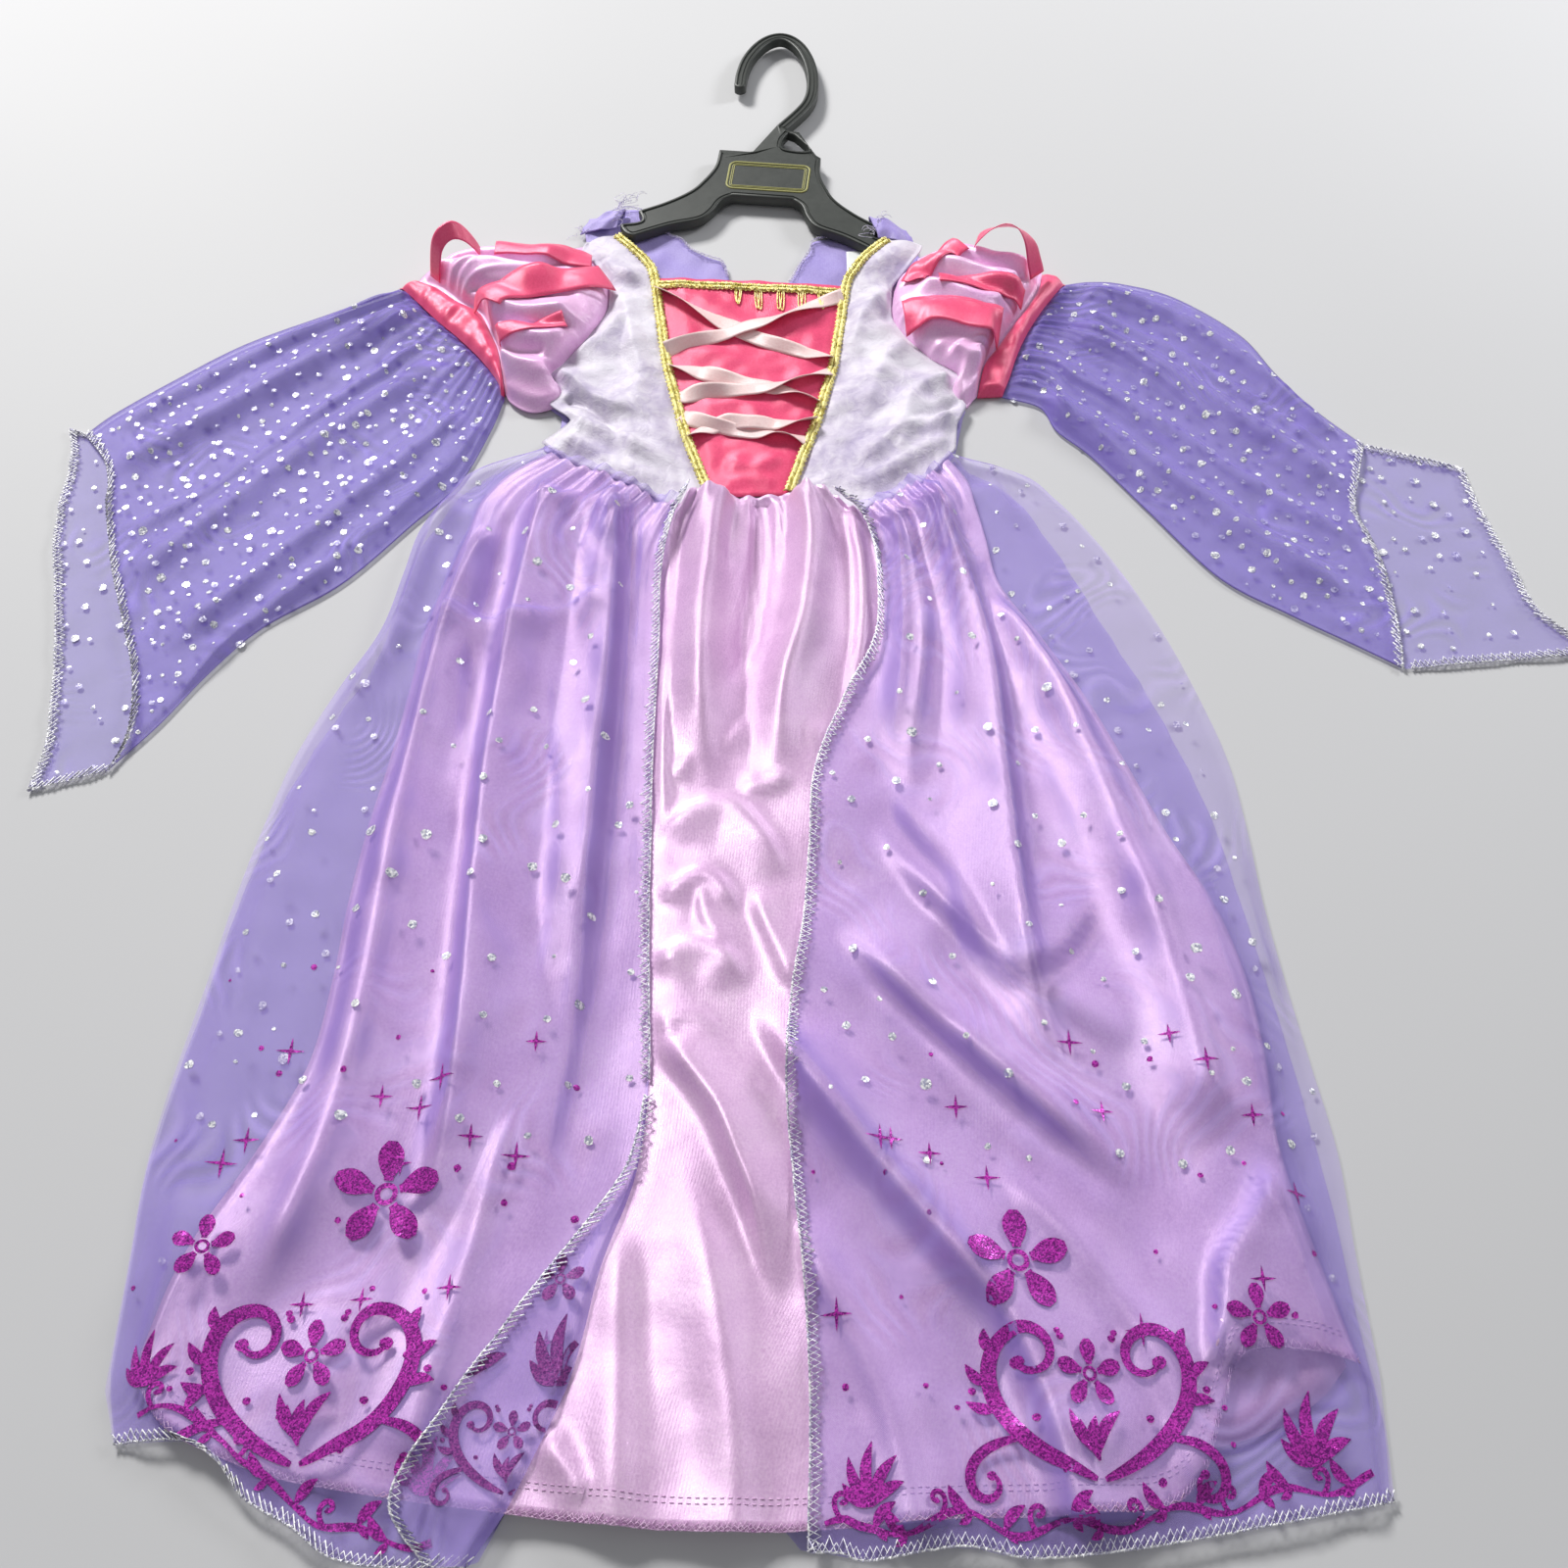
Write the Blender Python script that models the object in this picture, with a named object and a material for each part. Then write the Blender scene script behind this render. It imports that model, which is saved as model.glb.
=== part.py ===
# Princess costume dress for a small child, laid flat with its front up, on a plastic hanger.
# Plan directions: +X is to the right of the dress as seen, +Y runs from the hem to the hook, +Z is up.
# All tables are in millimetres. The dress rests on z = 0 and its box is centred on the origin.

import math

import bmesh
import bpy
import numpy as np
from mathutils.bvhtree import BVHTree
from mathutils.geometry import interpolate_bezier

MM = 0.001

# Driving sizes
SHEER = 1.2  # wall of the organza
CLOTH = 1.5  # wall of the satin and the velvet
RIBBON = 1.0  # wall of the ribbons
GAP = 0.3  # clearance between pieces that touch
SEAM = 0.8  # clearance along a seam that two pieces meet at with different points
HANGER_THICK = 6.0
HANGER_TILT = math.radians(-5.9)
HANGER_TOP = (-28.0, 340.5)  # middle of the plate's upper edge
HOOK_WIDTH = 8.0
EDGING = 3.2  # width of the silver edging
EDGING_LIFT = 1.1  # its height over a gathered edge
BRAID = 6.0  # width of the gold braid
BRAID_THICK = 2.0
ARMHOLE_GAP = 0.6  # clearance between an armhole and its puff
BAND_GAP = 0.7  # clearance between a puff, its band and the bell below it
INSET = 1.0  # how far the back layers stop short of the front layers' edges

# Skirt: x of each boundary line at share v of the way from the waist to the satin's hem
SKIRT = [
    # v, organza left, satin left, front edge left, front edge right, satin right, organza right
    (0.00, -156, -150, -70, 8, 73, 78),
    (0.03, -190, -170, -77, 21, 82, 113),
    (0.07, -205, -184, -82, 28, 86, 131),
    (0.12, -217, -190, -84, 30, 90, 147),
    (0.18, -222, -197, -83, 28, 94, 162),
    (0.26, -229, -205, -83, 10, 114, 178),
    (0.34, -246, -208, -83, -4, 133, 190),
    (0.42, -260, -212, -82, -7, 148, 199),
    (0.50, -268, -217, -81, -10, 162, 202),
    (0.58, -274, -220, -79, -16, 179, 203),
    (0.66, -278, -221, -77, -18, 188, 206),
    (0.74, -283, -225, -80, -15, 190, 210),
    (0.82, -286, -240, -92, -11, 189, 214),
    (0.91, -284, -262, -102, -9, 196, 213),
    (1.00, -282, -272, -122, -10, 205, 213),
]
LAST_ROW = (-274, -264, -134, -10, 203, 209)  # the same lines at the organza's own hem
COLUMNS = (3, 14, 10, 16, 3)  # columns between one boundary line and the next
HEM_ROWS = 2  # rows from the satin's hem to the organza's
HEM_TOP = 5.5  # greatest height of the organza's hem

WAIST = [(-156, 80), (-140, 64), (-115, 50), (-92, 37), (-76, 28), (-60, 36), (-38, 38),
         (-16, 38), (4, 33), (20, 24), (34, 32), (46, 40), (60, 50), (78, 75)]
SATIN_HEM = [(-282, -424), (-272, -420), (-255, -438), (-234, -448), (-200, -458), (-125, -468),
             (-60, -474), (-10, -474), (45, -470), (90, -469), (130, -463), (160, -430),
             (205, -411), (213, -418)]
BACK_SATIN_HEM = [(-272, -416), (-250, -436), (-200, -452), (-60, -468), (60, -465),
                  (150, -452), (186, -438), (203, -420)]
ORGANZA_HEM = [(-274, -444), (-245, -443), (-232, -450), (-220, -463), (-200, -473), (-180, -484),
               (-134, -486), (-10, -481), (10, -484), (46, -479), (72, -483), (110, -480),
               (162, -472), (209, -464)]

# Folds: a path in plan, half width, height
SATIN_FOLDS = [
    ([(-54, 34), (-63, -20), (-60, -90), (-52, -150)], 13, 7.0),
    ([(-12, 34), (2, -20), (0, -80), (-6, -130)], 12, 7.0),
    ([(-78, -286), (-46, -318), (-28, -360), (-12, -402)], 11, 6.0),
    ([(-186, 20), (-206, -120), (-212, -300)], 15, 7.0),
    ([(-135, 30), (-150, -150), (-142, -330), (-130, -440)], 18, 6.0),
    ([(58, 30), (82, -60), (86, -160), (96, -300)], 16, 7.0),
    ([(100, -60), (150, -200), (172, -320), (176, -400)], 17, 7.0),
    ([(-30, -268), (40, -340), (75, -400), (82, -446)], 13, 6.5),
    ([(10, -230), (80, -300), (138, -350), (160, -384)], 13, 6.0),
    ([(-70, -190), (-48, -225)], 12, 3.5),
]
ORGANZA_FOLDS = [
    ([(-200, -44), (-150, -54), (-104, -38)], 9, 5.0),
    ([(-196, 50), (-212, -10), (-232, -110), (-250, -200), (-262, -330)], 15, 8.0),
    ([(-106, 20), (-104, -100), (-108, -250), (-124, -350)], 10, 4.5),
    ([(30, -156), (60, -210), (74, -250), (102, -252), (134, -206)], 11, 5.5),
    ([(104, 60), (146, -20), (176, -110), (194, -220), (200, -340)], 14, 8.0),
    ([(-12, -275), (60, -350), (130, -424)], 12, 4.5),
    ([(40, 18), (48, -80), (60, -170)], 11, 5.0),
]
SATIN_GATHER = 2.6  # depth of the gathers at the waist
ORGANZA_GATHER = 2.4
GATHER_REACH = 0.13  # share of the skirt's length in which the gathers fade
CORNER_WIDTH = [0.0, 3.0, 19.0, 40.0, 46.0, 32.0, 13.0]  # turned corner, row by row from CORNER_ROW
CORNER_ROW = 10
CORNER_COLUMNS = 5
CORNER_LIFT = 1.5

# Bodice front: armhole or side point, then the point at the braid, from the shoulder to the waist
BODICE_LEFT = [
    # outer x, outer y, inner x, inner y
    (-143, 255, -125, 262), (-145, 247, -114, 248), (-132, 228, -104, 235), (-126.5, 217, -99, 222),
    (-125.5, 193, -94, 188), (-132, 175, -91, 166), (-148, 147, -88, 145), (-156, 135, -84, 126),
    (-148, 122, -79.5, 106), (-154, 111, -76, 90), (-141, 98, -71, 73), (-156, 80.8, -59, 37.3),
]
BODICE_RIGHT = [
    (67, 243, 46, 249), (65, 237, 35, 237), (54, 219, 25, 223), (47, 208, 19, 211),
    (46, 185, 15, 180), (54, 167, 12, 158), (68, 148, 9.5, 140), (84, 135, 5.5, 122),
    (80, 122, 1, 102), (86, 110, -3, 87), (80, 95, -8, 70), (78, 75.8, -17, 38.8),
]
ARMHOLE_ROWS = 10  # rows of the bodice that lie along the armhole
NECK_ROW = 3  # row of the bodice where the neckline starts
BODICE_COLUMNS = 7
BODICE_LOW = 4.5  # height of a front panel at its edges
BODICE_ARCH = 3.6  # rise of a front panel towards its middle
BODICE_WAVE = 1.8  # height of the soft waves in it
WAIST_GATHER = 1.4
CENTRE_COLUMNS = 6
SHOULDER_LIFT = 6.8  # raises the right shoulder over the hanger's arm

# Lacing: start row and end row between the braids, from left to right, counted from the neckline
LACES = [(0.42, 2.65), (3.3, 4.65), (5.35, 6.5)]
LACE_WIDTH = 8.0
LACE_INSET = 7.0  # how far the laces' ends stay inside the braids
LACE_LIFT = 0.8  # height of a lace over the centre piece
LACE_CROSSING = 2.2  # how much higher the upper of two crossing laces runs

# Puff sleeve: upper rail and lower rail from the armhole to the band
PUFFS = {
    "left": dict(
        side=-1, body=BODICE_LEFT,
        upper=[(-144, 255), (-158, 251), (-178, 250), (-197, 249), (-217, 245), (-236, 235), (-246, 219)],
        lower=[(-154, 111), (-158, 108), (-163, 107), (-168, 108), (-173, 111), (-178, 116), (-181, 122)],
        band_in=[(-246, 219), (-232, 213), (-217, 200), (-203, 190), (-194, 171), (-188, 155), (-181, 122)],
        band_out=[(-256, 216), (-243, 201), (-228, 183), (-213, 167), (-198, 149), (-186, 130), (-183, 118)],
    ),
    "right": dict(
        side=1, body=BODICE_RIGHT,
        upper=[(68, 243), (78, 250), (92, 252), (106, 248), (120, 242), (132, 236), (141, 229)],
        lower=[(86, 110), (87, 111), (88, 112.5), (89, 114), (90, 116), (91.5, 118), (93, 120)],
        band_in=[(141, 229), (137, 212), (127, 192), (117, 176), (108, 160), (99, 145), (93, 120)],
        band_out=[(155, 219), (146, 206), (135, 188), (125, 168), (118, 150), (113, 134), (108, 121)],
    ),
}
PUFF_HEIGHT = 24.0
PUFF_EDGE = 4.2  # height of a sleeve at its two side folds
PUFF_WRINKLE = 2.0
PUFF_CREASE = 2.2
PUFF_ROWS = 8
BAND_HEIGHT = 5.5
BAND_ARCH = 3.0
BAND_ROLL = (0.6, 1.4, 0.2)  # how much its two edges and its middle stand higher

# Bell sleeve: rails and hems, from the band to the wrist
SLEEVES = {
    "left": dict(
        side=-1,
        upper=[(-295, 193), (-341, 166), (-376, 136), (-405, 108), (-418, 91)],
        lower=[(-187, 92), (-200, 52), (-222, 22), (-254, -20), (-291, -50), (-312, -78), (-331, -111),
               (-350, -138)],
        front_hem=[(-418, 91), (-399, 65), (-390, 28), (-377, -12), (-364, -45), (-353, -73), (-346, -101),
                   (-345, -122), (-350, -138)],
        back_hem=[(-428, 95), (-421, 71), (-417, 21), (-404, -29), (-396, -60), (-388, -99), (-384, -125),
                  (-386, -150)],
        folds=[([(-236, 192), (-300, 140), (-396, 56)], 12, 6.0),
               ([(-214, 150), (-290, 80), (-372, -30)], 13, 5.0),
               ([(-206, 92), (-272, 10), (-340, -70)], 13, 5.0)],
    ),
    "right": dict(
        side=1,
        upper=[(170, 222), (190, 220), (221, 207), (255, 174), (271, 140), (288, 111), (310, 83)],
        lower=[(129, 112), (137, 93), (155, 72), (181, 32), (213, -16), (246, -41), (276, -61), (298, -76)],
        front_hem=[(310, 83), (300, 52), (295, 30), (301, -5), (301, -39), (298, -76)],
        back_hem=[(362, 64), (364, 40), (372, -9), (378, -38), (400, -66)],
        folds=[([(150, 170), (220, 110), (296, 40)], 13, 6.0),
               ([(160, 205), (230, 170), (300, 80)], 11, 5.0),
               ([(134, 118), (200, 50), (280, -30)], 13, 5.0)],
    ),
}
SLEEVE_EDGE = 3.4  # height of a bell at its two side folds
SLEEVE_START = 5.0  # its height where it meets the band
SLEEVE_ACROSS = 12
SLEEVE_ROWS = 12
FLARE_ROWS = 3  # rows of a bell's back layer past the front layer's hem

RIBBON_STEPS = 9
RIBBON_LIFT = 0.35  # height of a ribbon over the cloth

# Ribbons on the puffs: (share along, share across) from end to end, width, height of an arch over the puff
PUFF_RIBBONS = {
    "left": [
        ([(0.97, 0.52), (0.70, 0.46), (0.40, 0.38), (0.06, 0.29)], 21, 0.0),
        ([(0.56, 0.13), (0.42, 0.14), (0.26, 0.15), (0.08, 0.17)], 16, 0.0),
        ([(0.97, 0.10), (0.88, 0.12), (0.78, 0.14), (0.67, 0.15)], 9, 17.0),
        ([(0.93, 0.74), (0.72, 0.72), (0.46, 0.66), (0.20, 0.60)], 11, 0.0),
    ],
    "right": [
        ([(0.97, 0.60), (0.72, 0.60), (0.45, 0.56), (0.08, 0.50)], 22, 0.0),
        ([(0.38, 0.10), (0.31, 0.16), (0.25, 0.23), (0.22, 0.31)], 12, 0.0),
        ([(0.97, 0.13), (0.82, 0.10), (0.64, 0.09), (0.48, 0.09)], 12, 17.0),
        ([(0.97, 0.32), (0.80, 0.34), (0.60, 0.36), (0.36, 0.36)], 13, 0.0),
    ],
}

BACK_NECK = {
    "left": [(-53, 225), (-57, 239), (-66, 244), (-76, 250), (-84, 261), (-92, 266), (-108, 288),
             (-124, 291), (-138, 279), (-145, 267)],
    "right": [(-16, 221), (-10, 235), (-3, 250), (-1, 259), (10, 263), (21, 259), (40, 256), (60, 256)],
}
CENTRE_BACK = {"left": [(-46, 38.8), (-49, 130)], "right": [(-33, 38.8), (-24, 130)]}
SIDE_BACK = {"left": [(-147, 105), (-147, 95)], "right": [(84, 104), (82, 94)]}
SHOULDERS = {  # lavender cloth turned over the hanger's arm: x range, y of the fold and of the edge, top
    "left": (-141, -125, 284, 270, 8.0),
    "right": (41, 59, 272, 255, 11.5),
}
SHOULDER_STEP = 6.0  # how much shorter the lower leg of the turned cloth is
LABEL = (20, 38, 222, 249)  # low x, high x, low y, high y

# Hanger, in its own frame: half of the body's outline from the plate's corner to the arch
HANGER_HALF = [(33.4, 0), (34.4, -18), (41, -35), (48, -46), (61.5, -58), (76.8, -68), (73.4, -76),
               (76.6, -79.5), (85.7, -82.3), (81, -91), (76.3, -92.6), (55, -80), (37, -72.3),
               (29.8, -63), (25.6, -52.3), (19, -46.6)]
# Middle line of the hook, from its free tip over the top and down the stem
HOOK = [(-28.6, 73), (-28.9, 86), (-27.2, 102), (-22.3, 117), (-15.5, 127.5), (-7.5, 132), (0.5, 129.5),
        (8.5, 120.5), (14.8, 107), (18.9, 92), (20.7, 78), (20.8, 66), (18.6, 55), (13.2, 43), (4.4, 27.2)]
STEM_FOOT = (-11.6, 0.0)
WEB = [(16.5, 24), (30.4, 0.0)]  # outer line of the small loop beside the stem
LOOP = [(9.6, 22), (6.8, 14), (8.8, 5), (25, 4.6), (15.4, 18.6)]

FABRICS = {
    "velvet": ((0.80, 0.77, 0.84), 0.55, 0.0),
    "pink_satin": ((0.87, 0.10, 0.24), 0.38, 0.0),
    "lace_ribbon": ((0.93, 0.70, 0.66), 0.40, 0.0),
    "lavender_satin": ((0.48, 0.42, 0.74), 0.50, 0.0),
    "gold_braid": ((0.72, 0.60, 0.16), 0.40, 0.6),
    "satin": ((0.78, 0.55, 0.74), 0.35, 0.0),
    "organza": ((0.36, 0.28, 0.70), 0.45, 0.0),
    "silver_edging": ((0.70, 0.68, 0.74), 0.30, 0.7),
    "lilac_satin": ((0.80, 0.52, 0.80), 0.32, 0.0),
    "label": ((0.86, 0.87, 0.84), 0.50, 0.0),
    "hanger_plastic": ((0.045, 0.05, 0.045), 0.42, 0.0),
}


def clear_scene():
    for obj in list(bpy.data.objects):
        bpy.data.objects.remove(obj)


def material(name):
    found = bpy.data.materials.get(name)
    if found:
        return found
    colour, rough, metal = FABRICS[name]
    made = bpy.data.materials.new(name)
    made.use_nodes = True
    shader = made.node_tree.nodes["Principled BSDF"]
    shader.inputs["Base Color"].default_value = (*colour, 1.0)
    shader.inputs["Roughness"].default_value = rough
    shader.inputs["Metallic"].default_value = metal
    made.diffuse_color = (*colour, 1.0)
    return made


def add_node(name, points, faces, fabric):
    mesh = bpy.data.meshes.new(name)
    mesh.from_pydata([tuple(MM * float(c) for c in p) for p in points], [], faces)
    bm = bmesh.new()
    bm.from_mesh(mesh)
    bmesh.ops.recalc_face_normals(bm, faces=bm.faces)
    bm.to_mesh(mesh)
    bm.free()
    mesh.shade_smooth()
    mesh.set_sharp_from_angle(angle=math.radians(40))
    mesh.materials.append(material(fabric))
    obj = bpy.data.objects.new(name, mesh)
    bpy.context.scene.collection.objects.link(obj)
    return obj


def along(points, shares):
    """Points at these shares of a polyline's length, straight between its corners."""
    points = np.array(points, float)
    steps = np.linalg.norm(np.diff(points, axis=0), axis=1)
    walked = np.concatenate([[0], np.cumsum(steps)]) / steps.sum()
    return np.stack([np.interp(shares, walked, points[:, k]) for k in range(points.shape[1])], axis=-1)


def rounded(points, pieces=4):
    """A smooth curve through the points of an open line."""
    p = np.array(points, float)
    ends = np.vstack([2 * p[0] - p[1], p, 2 * p[-1] - p[-2]])
    made = []
    for a, b, c, d in zip(ends, ends[1:], ends[2:], ends[3:]):
        knots = [(*b, 0), (*(b + (c - a) / 6), 0), (*(c - (d - b) / 6), 0), (*c, 0)]
        made += [tuple(q)[:2] for q in interpolate_bezier(*knots, pieces + 1)[:-1]]
    return made + [tuple(p[-1])]


def height_along(table, x):
    xs, ys = zip(*table)
    return np.interp(x, xs, ys)


def ridge(x, y, path, width, height):
    """Height of a soft fold that runs along a path and dies away at its two ends."""
    line = np.array(path, float)
    best = np.full(np.shape(x), np.inf)
    share = np.zeros(np.shape(x))
    steps = np.linalg.norm(np.diff(line, axis=0), axis=1)
    walked = np.concatenate([[0], np.cumsum(steps)]) / steps.sum()
    for k, (a, b) in enumerate(zip(line, line[1:])):
        d = b - a
        t = np.clip(((x - a[0]) * d[0] + (y - a[1]) * d[1]) / (d @ d), 0, 1)
        far = np.hypot(x - a[0] - t * d[0], y - a[1] - t * d[1])
        share = np.where(far < best, walked[k] + t * (walked[k + 1] - walked[k]), share)
        best = np.minimum(best, far)
    fade = np.clip(5 * share, 0, 1) * np.clip(5 * (1 - share), 0, 1)
    return height * (0.35 + 0.65 * fade) * np.exp(-((best / width) ** 2))


def folds(x, y, table):
    """The highest of the folds at a point, so that crossing folds don't pile up."""
    return np.max([ridge(x, y, *fold) for fold in table], axis=0)


def strip_faces(first, second, closed=False):
    count = len(first)
    made = []
    for k in range(count if closed else count - 1):
        n = (k + 1) % count
        made += [(first[k], first[n], second[n]), (first[k], second[n], second[k])]
    return made


def sheet(name, top, wall, fabric):
    """A wall of cloth under a grid of upper points; its thickness is measured upright."""
    rows, cols = top.shape[:2]
    bottom = top.copy()
    bottom[..., 2] -= wall
    points = np.concatenate([top.reshape(-1, 3), bottom.reshape(-1, 3)])
    index = np.arange(rows * cols).reshape(rows, cols)
    under = index + rows * cols
    faces = []
    for i in range(rows - 1):
        faces += strip_faces(index[i], index[i + 1])
        faces += [face[::-1] for face in strip_faces(under[i], under[i + 1])]
    for line, low in ((index[0], under[0]), (index[-1], under[-1]),
                      (index[:, 0], under[:, 0]), (index[:, -1], under[:, -1])):
        faces += strip_faces(line, low)
    return add_node(name, points, faces, fabric)


def lips_in(grid, wall):
    """Moves the two side edges of a layer inwards by the wall, in plan."""
    for edge, towards in ((0, 1), (-1, -2)):
        step = grid[:, towards, :2] - grid[:, edge, :2]
        grid[:, edge, :2] += wall * step / np.linalg.norm(step, axis=1, keepdims=True)
    return grid


def tube(name, front, back, wall, fabric, flare=None):
    """A sleeve pressed flat: front holds its upper points, back the plan of its lower ones.

    The rows of flare carry the lower layer on past the hem of the upper one."""
    def level(plan, height):
        return np.dstack([plan, np.full(plan.shape[:2], height)])

    inner_front = front.copy()
    inner_front[..., 2] -= wall
    outer = np.concatenate([front, level(back, 0.0)[:, ::-1]], axis=1)
    inner = np.concatenate([lips_in(inner_front, wall), lips_in(level(back, wall), wall)[:, ::-1]], axis=1)
    rows, around = outer.shape[:2]
    points = np.concatenate([outer.reshape(-1, 3), inner.reshape(-1, 3)])
    skin = np.arange(rows * around).reshape(rows, around)
    lining = skin + rows * around
    faces = []
    for grid in (skin, lining):
        for i in range(rows - 1):
            faces += strip_faces(grid[i], grid[i + 1], closed=True)
    faces += strip_faces(skin[0], lining[0], closed=True)
    if flare is None:
        faces += strip_faces(skin[-1], lining[-1], closed=True)
        return add_node(name, points, faces, fabric)
    across = front.shape[1]
    faces += strip_faces(np.roll(skin[-1], 1)[:across + 2], np.roll(lining[-1], 1)[:across + 2])
    low = len(points) + np.arange(flare.shape[0] * flare.shape[1]).reshape(flare.shape[:2])
    high = np.vstack([lining[-1, across:][::-1], low + low.size])
    low = np.vstack([skin[-1, across:][::-1], low])
    points = np.concatenate([points, level(flare, 0.0).reshape(-1, 3),
                             lips_in(level(flare, wall), wall).reshape(-1, 3)])
    for grid in (low, high):
        for i in range(len(grid) - 1):
            faces += strip_faces(grid[i], grid[i + 1])
    for a, b in ((low[:, 0], high[:, 0]), (low[:, -1], high[:, -1]), (low[-1], high[-1])):
        faces += strip_faces(a, b)
    return add_node(name, points, faces, fabric)


def plate(name, outline, low, high, fabric, hole=None):
    """A flat piece with an outline and, where given, a hole."""
    bm = bmesh.new()
    edges = []
    for loop in [outline] + ([hole] if hole else []):
        verts = [bm.verts.new((p[0] * MM, p[1] * MM, low * MM)) for p in loop]
        edges += [bm.edges.new((a, b)) for a, b in zip(verts, verts[1:] + verts[:1])]
    bmesh.ops.triangle_fill(bm, edges=edges, use_beauty=True)
    raised = bmesh.ops.extrude_face_region(bm, geom=bm.faces[:])["geom"]
    lifted = [v for v in raised if isinstance(v, bmesh.types.BMVert)]
    bmesh.ops.translate(bm, verts=lifted, vec=(0, 0, (high - low) * MM))
    bmesh.ops.recalc_face_normals(bm, faces=bm.faces)
    mesh = bpy.data.meshes.new(name)
    bm.to_mesh(mesh)
    bm.free()
    mesh.materials.append(material(fabric))
    obj = bpy.data.objects.new(name, mesh)
    bpy.context.scene.collection.objects.link(obj)
    return obj


def coons(start, end, upper, lower, rows, shares):
    """Plan points between two end lines and two side rails."""
    s = np.linspace(0, 1, rows)[:, None, None]
    t = np.array(shares)[None, :, None]
    a, b = along(start, shares)[None], along(end, shares)[None]
    u, w = along(upper, s[:, 0, 0])[:, None], along(lower, s[:, 0, 0])[:, None]
    corner = (1 - t) * ((1 - s) * a[:, :1] + s * b[:, :1]) + t * ((1 - s) * a[:, -1:] + s * b[:, -1:])
    return (1 - s) * a + s * b + (1 - t) * u + t * w - corner


# Skirt

def skirt_grid():
    """Plan points of every layer of the skirt, and the columns where its pieces start and end."""
    table = np.array(SKIRT, float)
    shares = [r[0] for r in SKIRT]
    lines = np.vstack([table[:, 1:], [(a + b) / 2 for a, b in zip(SKIRT[-1][1:], LAST_ROW)], LAST_ROW])
    x = []
    for k, count in enumerate(COLUMNS):
        f = np.arange(count) / count
        x.append(lines[:, k:k + 1] * (1 - f) + lines[:, k + 1:k + 2] * f)
    x = np.hstack(x + [lines[:, -1:]])
    waist = height_along(WAIST, x[0]) - SEAM
    hem = height_along(SATIN_HEM, x[len(shares) - 1])
    last = height_along(ORGANZA_HEM, x[-1])
    y = [waist + (hem - waist) * v for v in shares]
    y += [hem + (last - hem) * k / HEM_ROWS for k in range(1, HEM_ROWS + 1)]
    return x, np.array(y), np.concatenate([[0], np.cumsum(COLUMNS)])


def gathers(x, shares, depth):
    """Gathers at the waist: every second column stands up, and they fade down the skirt."""
    fade = np.exp(-np.array(shares) / GATHER_REACH)[:, None]
    return depth * fade * (np.arange(x.shape[1]) % 2)[None]


def skirt_heights(x, y, ends):
    """Upper height of the satin and of the organza at every plan point."""
    satin_rows = len(SKIRT)
    shares = [r[0] for r in SKIRT] + [1.0] * HEM_ROWS
    inside = np.zeros(x.shape)
    inside[:satin_rows, ends[1]:ends[4] + 1] = 1
    column = np.arange(x.shape[1])
    near_side = np.clip(np.minimum(column - ends[1], ends[4] - column) / 2, 0, 1)[None]
    satin_base = SHEER + GAP + CLOTH + GAP + CLOTH
    satin = satin_base + gathers(x, shares, SATIN_GATHER) + near_side * folds(x, y, SATIN_FOLDS)
    over = np.where(inside > 0, satin + GAP, SHEER + GAP)
    over[satin_rows, ends[1] + 1:ends[4]] = satin_base + GAP
    over[-1, ends[1] + 1:ends[4]] = SHEER + GAP + CLOTH + 2 * GAP
    organza = over + SHEER + gathers(x, shares, ORGANZA_GATHER) + folds(x, y, ORGANZA_FOLDS)
    organza[:, 0] = organza[:, -1] = SHEER + GAP + SHEER
    organza[-1] = np.minimum(organza[-1], HEM_TOP)
    return satin, organza


def on_row(grid, row, column):
    """A point on one row of a grid, at a column that need not be whole."""
    low = int(np.clip(math.floor(column), 0, grid.shape[1] - 2))
    f = column - low
    return grid[row, low] * (1 - f) + grid[row, low + 1] * f


def column_at(grid, row, column, reach):
    """The column that lies this far to the left along one row."""
    left = reach
    while column > 0:
        step = np.linalg.norm(grid[row, column] - grid[row, column - 1])
        if step >= left:
            return column - left / step
        left -= step
        column -= 1
    return 0.0


def side_strip(grid, column, step, width, raise_by):
    """A narrow strip along a column of a grid, laid on the next column's side."""
    near = grid[:, column]
    towards = grid[:, column + step] - near
    far = near + towards * np.minimum(1, width / np.linalg.norm(towards, axis=1))[:, None]
    strip = np.stack([near, far] if step > 0 else [far, near], axis=1)
    strip[..., 2] += raise_by
    return strip


def row_strip(grid, row, step, width, raise_by):
    return side_strip(grid.transpose(1, 0, 2), row, step, width, raise_by)


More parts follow.
